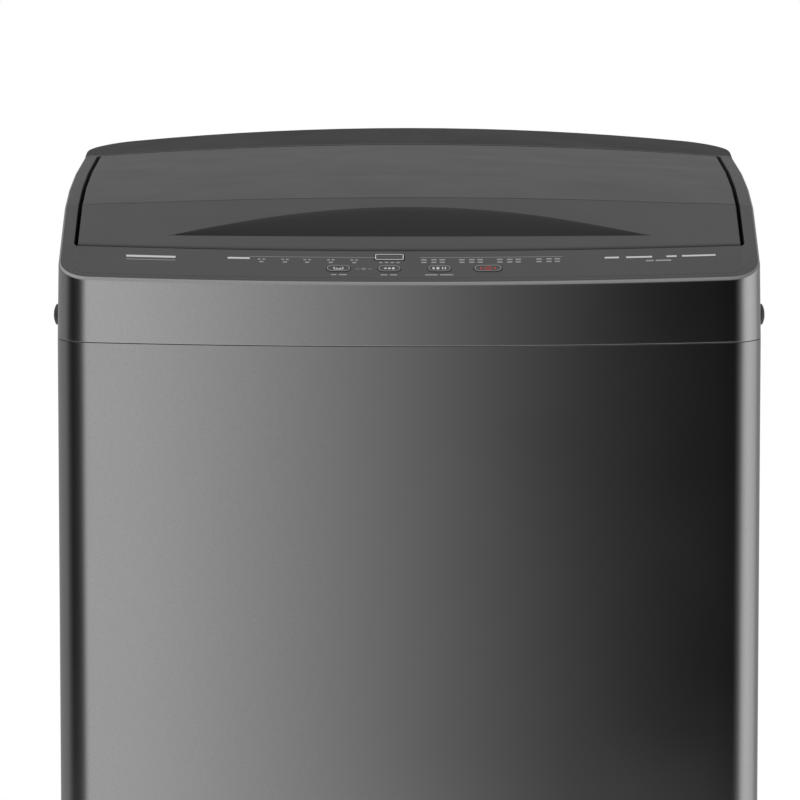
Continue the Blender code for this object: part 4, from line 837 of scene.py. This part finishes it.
def make_printing():
    """Generic marks only: bars that stand for words, lines, lamps and plain symbols."""
    white, soft = Print(), Print()
    row = 0.0350
    white.bar(-0.1305, row, 0.0170, 0.0026)
    soft.bar(-0.0740, row + 0.0026, 0.0960, 0.0005)
    for x in (-0.1130, -0.0950, -0.0780, -0.0600, -0.0420):
        soft.bar(x - 0.0018, row - 0.0012, 0.0022, 0.0016)
        soft.bar(x + 0.0018, row - 0.0012, 0.0022, 0.0016)
        soft.bar(x, row - 0.0050, 0.0034, 0.0018, 0.0008)
    soft.bar(0.0625, row + 0.0026, 0.1090, 0.0005)
    for x in (0.0180, 0.0470, 0.0760, 0.1060):
        for k in range(3):
            soft.bar(x - 0.0068 + 0.0064 * k + (0.0012 if k else 0), row - 0.0008, 0.0044, 0.0018)
            soft.bar(x - 0.0068 + 0.0064 * k + (0.0012 if k else 0), row - 0.0046, 0.0040, 0.0018)
    for x, width in ((0.1550, 0.0110), (0.1760, 0.0200), (0.2010, 0.0080), (0.2220, 0.0260)):
        white.bar(x, row - 0.0004, width, 0.0024)
    for x, width in ((0.1840, 0.0060), (0.1945, 0.0120)):
        soft.bar(x, row - 0.0062, width, 0.0020)
    white.bar(-0.1980, row - 0.0004, 0.0380, 0.0030, 0.0014)
    soft.bar(-0.1980, row - 0.0052, 0.0380, 0.0008)
    width, height = DISPLAY_SIZE
    frame = Print()
    frame.ring(DISPLAY_X, DISPLAY_DEPTH, width - 0.0010, height - 0.0020, 0.0008, 0.0016)
    frame.make("display_outline", PRINT_WHITE, "cabinet_body", 4 * PRINT)
    for k in range(4):
        soft.bar(DISPLAY_X - 0.0066 + 0.0044 * k, DISPLAY_DEPTH - 0.0078, 0.0026, 0.0016)
    soft.arc(-0.0348, KEY_DEPTH - 0.0010, 0.0022, 0.0006, 20, 160)
    soft.bar(-0.0348, KEY_DEPTH - 0.0008, 0.0018, 0.0012)
    soft.bar(-0.0395, KEY_DEPTH - 0.0002, 0.0030, 0.0006)
    soft.bar(-0.0301, KEY_DEPTH - 0.0002, 0.0030, 0.0006)
    labels = {"program_button": (0.0040, 0.0060), "water_level_button": (0.0050, 0.0055),
        "start_button": (0.0095, 0.0100)}
    for name, widths in labels.items():
        x = KEYS[name][0] - 0.0006
        for side, wide in zip((-1, 1), widths):
            soft.bar(x + side * (wide / 2 + 0.0010), KEY_DEPTH - 0.0088, wide, 0.0016)
    white.make("panel_print_white", PRINT_WHITE, "cabinet_body")
    soft.make("panel_print_soft", PRINT_SOFT, "cabinet_body")
    for name, (x, width) in KEYS.items():
        key_marks(name, x, width)


def key_marks(name, x, width):
    """The pale outline of a key and the symbol on its crown."""
    rim, mark = Print(), Print()
    rim.ring(x, KEY_DEPTH, width - 0.0010, KEY_HEIGHT - 0.0010, 0.0005, KEY_HEIGHT / 2 - 0.0005)
    tall = 0.0036
    if name == "program_button":
        mark.bar(x, KEY_DEPTH - tall / 2, 0.0070, 0.0008)
        mark.bar(x - 0.0034, KEY_DEPTH, 0.0008, tall)
        mark.bar(x + 0.0034, KEY_DEPTH, 0.0008, tall)
        mark.arc(x, KEY_DEPTH + 0.0008, 0.0024, 0.0008, 190, 350)
    elif name == "water_level_button":
        for k in (-1, 0, 1):
            mark.bar(x + 0.0030 * k, KEY_DEPTH - 0.0002, 0.0020, tall * (0.7 + 0.15 * k))
    elif name == "start_button":
        for k, wide in ((-1.5, 0.0016), (-0.4, 0.0022), (0.8, 0.0010), (1.5, 0.0010)):
            mark.bar(x + 0.0030 * k, KEY_DEPTH, wide, tall)
    else:
        mark.arc(x, KEY_DEPTH - 0.0002, 0.0026, 0.0008, 125, 415)
        mark.bar(x, KEY_DEPTH + 0.0018, 0.0008, 0.0030)
        for side in (-1, 1):
            mark.bar(x + side * 0.0052, KEY_DEPTH - 0.0006, 0.0018, 0.0022)
    rim.make(name + "_rim", PRINT_SOFT, name + "_body", 0.00072)
    mark.make(name + "_mark", PRINT_RED if name == "power_button" else PRINT_WHITE, name + "_body", 0.00068)


# ---- lid --------------------
def edge_drop(depth):
    share = min(max((depth - CREASE) / 0.035, 0), 1)
    return LID_EDGE_FRONT + (LID_EDGE_REAR - LID_EDGE_FRONT) * share


def smooth(t):
    t = min(max(t, 0), 1)
    return t * t * (3 - 2 * t)


def pocket(u):
    """Depth of the finger recess along it, as a share: steep front wall, floor and sloping back."""
    if u <= 0.16:
        return smooth(u / 0.16)
    return 1 - smooth((u - 0.30) / 0.70) ** 0.85


def lid_surface(x, depth, near):
    """A point of the lid's top. near is how close the border is; the border is rounded off."""
    fall = 0.0
    if near < EDGE:
        fall += EDGE - math.sqrt(max(EDGE**2 - (EDGE - near) ** 2, 0))
    arc = CREASE + DISH_LENGTH * (1 - (x / DISH_HALF) ** 2)
    if abs(x) < DISH_HALF:
        fall += DISH_DEEP * smooth((arc - depth) / 0.012) * smooth((depth - CREASE + 0.03) / 0.03)
    if abs(depth - CREASE) < GROOVE / 2:
        fall += GROOVE_DEEP
    return top_point(x, depth, fall)


def make_lid():
    """One skin: rounded border, front slope with the lens-shaped recess, crease, shallow dish and skirt."""
    steps = (0.0, 0.0001, 0.0003, 0.0007, EDGE)
    slot = POST_WIDTH / 2 + SLOT_GAP
    sides = [side * HINGE_X + edge for side in (-1, 1)
        for edge in (-slot - 0.0003, -slot, slot, slot + 0.0003)]
    inner = sorted(spread(-LID_HALF + EDGE, LID_HALF - EDGE, 90)[1:-1] + sides)
    xs = [-LID_HALF + s for s in steps] + inner + [LID_HALF - s for s in steps[::-1]]
    rows = [("edge", GAP_LINE + s) for s in steps]
    rows += [("edge", d) for d in spread(GAP_LINE + EDGE, HANDLE_FRONT - 0.0010, 5)[1:]]
    rows += [("lens", u) for u in (-0.02, -0.008, 0.0, 0.02, 0.05, 0.09, 0.13, 0.16, 0.23, 0.30)]
    rows += [("lens", u) for u in (0.38, 0.46, 0.54, 0.62, 0.70, 0.78, 0.85, 0.91, 0.95, 0.98, 1.0, 1.015,
        1.03)]
    rows += [("slope", t) for t in spread(0, 1, 7)[1:-1]]
    rows += [("edge", CREASE + d * GROOVE) for d in (-5, -3, -1, -0.6, -0.4, 0, 0.4, 0.6, 1, 3, 5)]
    rows += [("edge", d) for d in spread(CREASE + 0.006, LID_REAR - EDGE, 52)[1:]]
    rows += [("edge", LID_REAR - s) for s in steps[::-1][1:]]
    grid = []
    for x in xs:
        length = HANDLE_LENGTH * max(1 - (x / HANDLE_HALF) ** 2, 0)
        deep = POCKET_DEEP * (length / HANDLE_LENGTH) ** 0.55
        length = max(length, 0.0006)
        column = []
        for kind, value in rows:
            sunk = 0.0
            if kind == "edge":
                depth = value
            elif kind == "slope":
                rear = HANDLE_FRONT + 1.03 * length
                depth = rear + value * (CREASE - 0.006 - rear)
            else:
                depth = HANDLE_FRONT + value * length
                if 0 < value < 1:
                    sunk = deep * pocket(value)
            near = min(LID_HALF - abs(x), depth - GAP_LINE, LID_REAR - depth)
            column.append(lid_surface(x, depth, near) - Vector((0, 0, sunk)))
        grid.append(column)
    across, along = len(xs), len(rows)
    points = [p for column in grid for p in column]
    faces = strips(grid, closed_loops=False)
    # the rows inside the finger recess take the painted shade
    recess_shade_rows = [kind == "lens" and 0 <= value < 1 for kind, value in rows]
    bands = [int(recess_shade_rows[j] and abs(xs[i]) < HANDLE_HALF) for i in range(across - 1)
        for j in range(along - 1)]
    rim = [i * along for i in range(across)] + [(across - 1) * along + j for j in range(1, along)]
    rim += [i * along + along - 1 for i in range(across - 2, -1, -1)] + list(range(along - 2, 0, -1))
    previous = rim
    for inset, share in ((0, 1.0), (0.0004, 1.0), (0.0018, 1.0), (0.0020, 0.0)):
        ring = []
        for index in rim:
            p = points[index]
            depth = p.y + DEPTH / 2 - bow(p.x) * bow_share(p.y + DEPTH / 2)
            drop = EDGE + share * (edge_drop(depth) - EDGE) if share else EDGE + 0.0015
            if depth > LID_REAR - EDGE and abs(abs(p.x) - HINGE_X) < slot + 0.0001:
                drop = EDGE + SLOT_GAP  # the skirt is cut away for the hinge post
            x = p.x - math.copysign(inset, p.x) if LID_HALF - abs(p.x) < 1e-5 else p.x
            depth = min(max(depth, GAP_LINE + inset), LID_REAR - inset)
            ring.append(len(points))
            points.append(top_point(x, depth, drop - (0.0004 if inset == 0 else 0)))
        count = len(rim)
        faces += [(previous[k], previous[(k + 1) % count], ring[(k + 1) % count], ring[k])
            for k in range(count)]
        previous = ring
    # the skirt round the lid's border takes the painted shade as well
    bands += [1] * (len(faces) - len(bands))
    lid = piece("lid_skin", points, faces, LID_GREY, "lid", 40, (PAINTED_SHADE_GREY,), bands)
    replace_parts(lid, "lid_shell", "lid_handle_cup")


# ---- wash unit --------------------
def make_basket():
    """The perforated drum wall: pressed panels, and a small round hole in each cell."""
    columns, rows, hole = ((72, 20, 0.13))
    low, high = BASKET_FLOOR_Z + 0.012, BASKET_TOP_Z
    cell_height = (high - low) / rows
    points, faces = [], []

    def place(u, v):
        """u counts columns round the drum and v rows up it."""
        angle = 2 * math.pi * u / columns
        panel = 0.5 - 0.5 * math.cos(2 * math.pi * u / columns * 12)
        end = min(max(min(v, rows - v) - 0.6, 0) / 0.8, 1)
        radius = BASKET_RADIUS - 0.0003 + 0.0016 * panel * end
        return (radius * math.cos(angle), radius * math.sin(angle) + TUB_Y, low + v * cell_height)

    ring = [math.radians(45 * k) for k in range(8)]
    square = [(1, 0), (1, 1), (0, 1), (-1, 1), (-1, 0), (-1, -1), (0, -1), (1, -1)]
    for i in range(columns):
        for j in range(rows):
            first = len(points)
            points += [place(i + 0.5 + 0.5 * a, j + 0.5 + 0.5 * b) for a, b in square]
            if j in (0, rows - 1):
                faces.append(tuple(range(first, first + 8)))
                continue
            points += [place(i + 0.5 + hole * math.cos(a), j + 0.5 + hole * math.sin(a)) for a in ring]
            faces += [(first + k, first + (k + 1) % 8, first + 8 + (k + 1) % 8, first + 8 + k)
                for k in range(8)]
    wall = piece("basket_skin", points, faces, DRUM_STEEL, "basket", 60)
    sheet = wall.modifiers.new("sheet", "SOLIDIFY")
    sheet.thickness, sheet.offset = BASKET_SHEET * 0.7, -1
    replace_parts(wall, "basket_wall")


def make_rings():
    """Balance ring, tub ring and the drum's floor, all turned with soft corners."""
    axis, low, high, out = (0, TUB_Y,
        0), BASKET_TOP_Z + GAP + 0.0002, BASKET_TOP_Z + BALANCE_HEIGHT, BASKET_RADIUS + 0.006
    inner = BALANCE_INNER
    section = [
        (inner + 0.010, low), (out, low), (out, low + 0.006), (out - 0.0015, low + 0.007),
        (out - 0.0015, low + 0.010),
        (out, low + 0.011), (out, high - 0.012), (out - 0.010, high), (out - 0.016, high),
        (out - 0.0165, high - 0.0012),
        (out - 0.0185, high - 0.0012), (out - 0.019, high), (inner + 0.008, high), (inner, high - 0.010),
        (inner, low + 0.014),
    ]
    ring = turned("balance_ring_skin", rounded(section, 0.0030), PALE, "basket", axis)
    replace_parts(ring, "balance_ring")
    r, mouth, top = TUB_RADIUS, TUB_RADIUS - 0.042, TUB_TOP_Z
    section = [
        (r + 0.003, top - 0.014), (r + 0.006, top - 0.014), (r + 0.006, top + 0.006),
        (mouth + 0.011, top + 0.016),
        (mouth, top + 0.016), (mouth, top + 0.004), (mouth + 0.003, top + 0.004),
        (mouth + 0.003, top + 0.012),
        (mouth + 0.010, top + 0.012), (r + 0.003, top + 0.0025),
    ]
    ring = turned("tub_ring_skin", rounded(section, 0.0012), TUB_WHITE, "tub", axis)
    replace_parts(ring, "tub_ring")
    inner, z = BASKET_RADIUS - BASKET_SHEET - GAP - 0.0004, BASKET_FLOOR_Z
    section = [
        (0.018, z - 0.012), (0.050, z - 0.012), (0.070, z), (inner - 0.004, z), (inner, z + 0.006),
        (inner, z + 0.034),
        (inner - 0.003, z + 0.034), (inner - 0.022, z + 0.010), (0.065, z + 0.006), (0.040, z + 0.010),
        (0.018, z + 0.010),
    ]
    floor = turned("basket_floor_skin", rounded(section, 0.0025), PALE, "basket", axis)
    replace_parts(floor, "basket_base")


def make_pulsator():
    """The wave disc: six swept ribs on a dished plate, with rings of small drain slots drawn as grooves."""
    spokes, segments, rows = 6, 144, 40
    radii = spread(0.0086, PULSATOR_RADIUS, rows)
    loops = []
    for r in radii:
        share, ring = r / PULSATOR_RADIUS, []
        for k in range(segments):
            angle = 2 * math.pi * k / segments
            wave = max(math.cos(spokes * (angle + 0.5 * share)), 0) ** 2
            rib = 0.0212 * wave * math.sin(math.pi * min(share * 1.02,
                1)) ** 0.7 * smooth((r - 0.018) / 0.012)
            groove = 0.0006 if abs((share * 16) % 1 - 0.5) < 0.12 and wave < 0.05 and share > 0.3 else 0.0
            dish = 0.020 * (1 - share) ** 2 + 0.004 * share**2
            edge = 0.0022 * smooth((share - 0.97) / 0.03)
            height = PULSATOR_Z + dish + rib - groove - edge
            ring.append((r * math.cos(angle), r * math.sin(angle) + TUB_Y, height))
        loops.append(ring)
    for radius, z in ((PULSATOR_RADIUS, -0.006), (PULSATOR_RADIUS - 0.012, -0.004), (0.030, -0.004),
        (0.030, -0.012), (0.0086, -0.012)):
        loops.append([
            (radius * math.cos(a), radius * math.sin(a) + TUB_Y, PULSATOR_Z + z)
            for a in spread(0, 2 * math.pi, segments)[:-1]
        ])
    disc = skin("pulsator_skin", loops, PALE, "agitator", closed_stack=True, sharp=50)
    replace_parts(disc, "pulsator")
    z = PULSATOR_Z + 0.026
    dome = [(0.0001, z + 0.0005), (0.015, z - 0.0008), (0.0155, z + 0.003), (0.0095, z + 0.0060),
        (0.0060, z + 0.0058), (0.0001, z + 0.0068)]
    cap = turned("pulsator_cap_skin", rounded(dome, 0.0008), SPRING_STEEL, "agitator", (0, TUB_Y, 0),
        segments=48)
    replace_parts(cap, "pulsator_cap")


# ---- small fittings --------------------
def make_feet():
    """Ribbed rubber pads on threaded studs, with a lock nut under the base."""
    bodies = {
        "front_left_foot": "front_left_foot_screw", "front_right_foot": "front_right_foot_screw",
        "rear_left_foot": "cabinet_body", "rear_right_foot": "cabinet_body",
    }
    for name, body in bodies.items():
        x, y = FOOT_X * (1 if "right" in name else -1), FOOT_Y * (1 if "rear" in name else -1)
        pad_top = BASE_TOP_Z - 0.004 - 0.0006
        section = [(0.0001, 0.0012), (0.010, 0.0012), (0.0105, 0), (0.014, 0), (0.0145, 0.0012),
            (0.0165, 0.0012), (0.017, 0)]
        section += [(FOOT_RADIUS, 0), (FOOT_RADIUS, 0.0024), (FOOT_RADIUS - 0.0008, 0.0030),
            (FOOT_RADIUS, 0.0036)]
        section += [(FOOT_RADIUS, 0.0070), (0.013, 0.0120), (0.013, pad_top), (STUD_RADIUS, pad_top)]
        top, pitch = BASE_TOP_Z + 0.022, 0.0020
        turns = math.floor((top - 0.001 - pad_top) / pitch)
        for k in range(turns):
            z = pad_top + k * pitch
            section += [(STUD_RADIUS - 0.0007, z + 0.35 * pitch), (STUD_RADIUS, z + 0.85 * pitch)]
        section += [(STUD_RADIUS - 0.001, top), (0.0001, top)]
        foot = turned(name + "_skin", section, RUBBER, body, (x, y, 0), segments=48)
        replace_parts(foot, name)


def make_side_caps():
    """Domed caps over the screws in the cover's sides, each with a ring groove."""
    y, up = CAP_DEPTH - DEPTH / 2, 0.015
    rise = top_z(WIDTH / 2 - COVER_DRAFT, y) - SHOULDER - SEAM_Z
    lean, tilt = COVER_DRAFT * up / rise, math.atan(COVER_DRAFT / rise)
    section = [
        (0.0001, GAP + 0.0001), (0.0084, GAP + 0.0001), (0.0082, 0.0012), (0.0078, 0.0022), (0.0066, 0.0030),
        (0.0060, 0.0029), (0.0054, 0.0034), (0.0030, 0.0040), (0.0001, 0.0042),
    ]
    for name, side in (("left_screw_cap", -1), ("right_screw_cap", 1)):
        turn = Matrix.Rotation(side * (math.pi / 2 - tilt), 4, "Y")
        at = (side * (WIDTH / 2 - lean), y, SEAM_Z + up)
        cap = turned(name + "_skin", section, CAP_GREY, "cabinet_body", at, turn, 48)
        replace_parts(cap, name)


def make_inlet():
    """The threaded hose connection behind, and the coil that works the valve."""
    turn = Matrix.Rotation(math.pi / 2, 4, "X")
    section = [(0.0085, 0.0006), (0.0092, 0.0), (INLET_RADIUS - 0.0012, 0.0), (INLET_RADIUS - 0.0006, 0.0008)]
    pitch = 0.0018
    for k in range(7):
        z = 0.0014 + k * pitch
        section += [(INLET_RADIUS, z + 0.25 * pitch), (INLET_RADIUS - 0.0008, z + 0.75 * pitch)]
    section += [
        (INLET_RADIUS - 0.0008, 0.0165), (0.0165, 0.0170), (0.0165, 0.0220), (0.011, 0.023), (0.011, 0.050),
        (0.0001, 0.050), (0.0001, 0.0140), (0.0020, 0.0140), (0.0020, 0.0110), (0.0040, 0.0110),
        (0.0040, 0.0140),
        (0.0085, 0.0120),
    ]
    valve = turned("inlet_valve_skin", section, TUB_WHITE, "cabinet_body",
        (INLET_X, DEPTH / 2 - 0.0006, INLET_Z), turn, 64)
    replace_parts(valve, "water_inlet_valve")
    low = (INLET_X - 0.016, DEPTH / 2 - 0.050, INLET_Z - 0.032)
    high = (INLET_X + 0.016, DEPTH / 2 - 0.027, INLET_Z - 0.012)
    coil = skin("inlet_coil", box_loops(low, high), DARK, "cabinet_body", caps=True)
    soften(coil, 0.0015)
    section = [
        (0.0105, 0.0004), (0.0110, 0), (0.0130, 0), (0.0135, 0.0006), (0.0135, 0.0030), (0.0127, 0.0040),
        (0.0135, 0.0050),
        (0.0135, 0.0078), (0.0198, 0.0078), (0.0200, 0.0080), (0.0200, 0.0098), (0.0135, 0.0098),
        (0.0135, 0.0190),
        (0.0105, 0.0190),
    ]
    outlet = turned("drain_outlet_skin", section, DARK, "cabinet_body",
        (DRAIN_X, DEPTH / 2 - 0.0005, DRAIN_Z), turn, 64)
    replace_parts(outlet, "drain_outlet")


def soften(obj, width):
    edge = obj.modifiers.new("edge", "BEVEL")
    edge.width = width
    edge.segments = 3
    edge.limit_method = "ANGLE"


# ---- the rest: CAD nodes that keep their shape --------------------
def dress(name, look, bevel=0.0006):
    """A CAD node that stays: its facets welded, its edges broken, and its material set."""
    obj = NODES[name]
    obj.data.materials.clear()
    obj.data.materials.append(look)
    weld = obj.modifiers.new("weld", "WELD")
    weld.merge_threshold = 0.00001
    if bevel:
        edge = obj.modifiers.new("edge", "BEVEL")
        edge.width = bevel
        edge.segments = 2
        edge.limit_method = "ANGLE"
        edge.angle_limit = math.radians(38)
        edge.use_clamp_overlap = True
        edge.harden_normals = False


def dress_all():
    looks = {
        DARK: ["base_frame", "lid_switch", "left_hinge_post", "right_hinge_post"],
        TUB_WHITE: ["outer_tub", "dispenser_box", "drain_valve", "lint_filter"],
        PALE: ["lid_liner", "detergent_drawer"],
        ZINC: ["mounting_plate", "motor", "left_hanger_rail", "right_hanger_rail", "left_hinge_pin",
        "right_hinge_pin",
               "front_left_rod", "front_right_rod", "rear_left_rod", "rear_right_rod"],
        ALUMINIUM: ["gearbox_housing", "clutch_pulley"],
        SPRING_STEEL: ["spin_tube", "wash_shaft", "motor_pulley"] + SPRINGS,
        RUBBER: ["inlet_pipe", "drain_hose", "drive_belt", "power_cord_gland"],
        BOARD: ["control_board"],
    }
    soft = {"inlet_pipe", "drain_hose", *SPRINGS}
    small = {"drive_belt", "control_board", "wash_shaft", "spin_tube"}
    for look, names in looks.items():
        for name in names:
            dress(name, look, 0.0 if name in small | soft else 0.0006)
            if name in soft:
                NODES[name].modifiers.new("round", "SUBSURF").render_levels = 1


# ---- lights, floor and camera --------------------
def make_world():
    """A soft studio: softboxes to the front left and right, a pale ceiling and a white background."""
    world = bpy.data.worlds.new("studio")
    bpy.context.scene.world = world
    world.use_nodes = True
    tree = world.node_tree
    nodes, links = tree.nodes, tree.links
    background = nodes["Background"]
    coordinates = nodes.new("ShaderNodeTexCoord")
    split = nodes.new("ShaderNodeSeparateXYZ")
    links.new(coordinates.outputs["Generated"], split.inputs["Vector"])

    def maths(operation, a, b=0.0):
        node = nodes.new("ShaderNodeMath")
        node.operation = operation
        for socket, value in zip(node.inputs, (a, b)):
            if isinstance(value, float):
                socket.default_value = value
            else:
                links.new(value, socket)
        return node.outputs["Value"]

    def ramp(value, stops):
        node = nodes.new("ShaderNodeValToRGB")
        elements = node.color_ramp.elements
        while len(elements) < len(stops):
            elements.new(0.5)
        for element, (place, level) in zip(elements, stops):
            element.position = place
            element.color = (level, level, level, 1.0)
        links.new(value, node.inputs["Fac"])
        return node.outputs["Color"]

    down = maths("MULTIPLY", split.outputs["Y"], -1.0)
    turn = maths("ARCTAN2", split.outputs["X"], down)
    turn = maths("ADD", maths("DIVIDE", turn, 2 * math.pi), 0.5)
    around = ramp(turn, [(0.5 + angle / 360, level) for angle, level in STUDIO])
    height = maths("ADD", maths("MULTIPLY", split.outputs["Z"], 0.5), 0.5)
    lean = maths("ADD", maths("MULTIPLY", split.outputs["X"], CEILING_LEAN), 1.0)
    ceiling = maths("MULTIPLY", ramp(height, CEILING), lean)
    mix = nodes.new("ShaderNodeMix")
    mix.data_type = "RGBA"
    mix.blend_type = "MIX"
    links.new(ramp(height, CEILING_SHARE), mix.inputs["Factor"])
    links.new(around, mix.inputs["A"])
    links.new(ceiling, mix.inputs["B"])
    path = nodes.new("ShaderNodeLightPath")
    seen = nodes.new("ShaderNodeMix")
    seen.data_type = "RGBA"
    seen.inputs["B"].default_value = (1.0, 1.0, 1.0, 1.0)
    links.new(path.outputs["Is Camera Ray"], seen.inputs["Factor"])
    links.new(mix.outputs["Result"], seen.inputs["A"])
    links.new(seen.outputs["Result"], background.inputs["Color"])


# direction round the object in degrees, 0 towards the camera and negative to its left, and brightness
STUDIO = (
    (-180, 0.36), (-121, 0.36), (-101, 0.30), (-90, 0.12), (-77, 0.02), (-56, 0.05), (-46, 0.13), (-38, 0.40),
    (-31, 0.92), (-24, 0.98), (-16, 0.74), (-8, 0.52), (0, 0.31), (7, 0.16), (14, 0.055), (18, 0.025),
    (24, 0.004),
    (40, 0.004), (52, 0.14), (59, 0.38), (70, 0.95), (86, 1.15), (112, 0.90), (135, 0.36), (180, 0.36),
)
CEILING = ((0.0, 0.5), (0.55, 0.5), (0.75, 0.60), (1.0, 0.66))
CEILING_SHARE = ((0.0, 0.0), (0.60, 0.0), (0.72, 1.0), (1.0, 1.0))
CEILING_LEAN = -0.42  # the ceiling is brighter on the left


def make_floor():
    """A round pale floor that fades to white at its rim."""
    radius, rings, segments = 1.7, 12, 96
    loops = [
        [(radius * k / rings * math.cos(a), radius * k / rings * math.sin(a), 0.0)
        for a in spread(0, 2 * math.pi, segments)[:-1]]
        for k in spread(0.0001, rings, rings)
    ]
    look = Shader("floor_pale", (0.86, 0.86, 0.86), 0.9, specular=0.1)
    look.tint(look.noise(3.0, 3.0), 0.99, 1.01)
    tree = look.tree
    glow = tree.nodes.new("ShaderNodeEmission")
    look.put(look.principled, "Emission Color", (1.0, 1.0, 1.0, 1.0))
    look.put(look.principled, "Emission Strength", 0.35)
    gradient = tree.nodes.new("ShaderNodeTexGradient")
    gradient.gradient_type = "SPHERICAL"
    look.put(gradient, "Vector", look.stretch((1 / radius, 1 / radius, 1 / radius)))
    mix = tree.nodes.new("ShaderNodeMixShader")
    tree.links.new(look.ranged(gradient.outputs["Fac"], 0.0, 0.45, 1.0, 0.0), mix.inputs["Fac"])
    tree.links.new(look.principled.outputs["BSDF"], mix.inputs[1])
    tree.links.new(glow.outputs["Emission"], mix.inputs[2])
    tree.links.new(mix.outputs["Shader"], tree.nodes["Material Output"].inputs["Surface"])
    floor = skin("floor", loops, look.material, None)


def make_camera():
    data = bpy.data.cameras.new("camera")
    data.lens = LENS
    data.sensor_width = 36.0
    camera = bpy.data.objects.new("camera", data)
    bpy.context.scene.collection.objects.link(camera)
    back, up = CAMERA_DISTANCE * math.cos(CAMERA_TILT), CAMERA_DISTANCE * math.sin(CAMERA_TILT)
    camera.location = (CAMERA_X, -DEPTH / 2 - back, AIM_Z + up)
    camera.rotation_euler = (math.pi / 2 - CAMERA_TILT, 0, 0)
    bpy.context.scene.camera = camera
    bpy.context.scene.view_settings.view_transform = "Standard"


make_camera()
make_world()
make_floor()
make_cabinet()
make_back()
make_top()
make_fascia()
make_printing()
make_lid()
make_basket()
make_rings()
make_pulsator()
make_feet()
make_side_caps()
make_inlet()
dress_all()
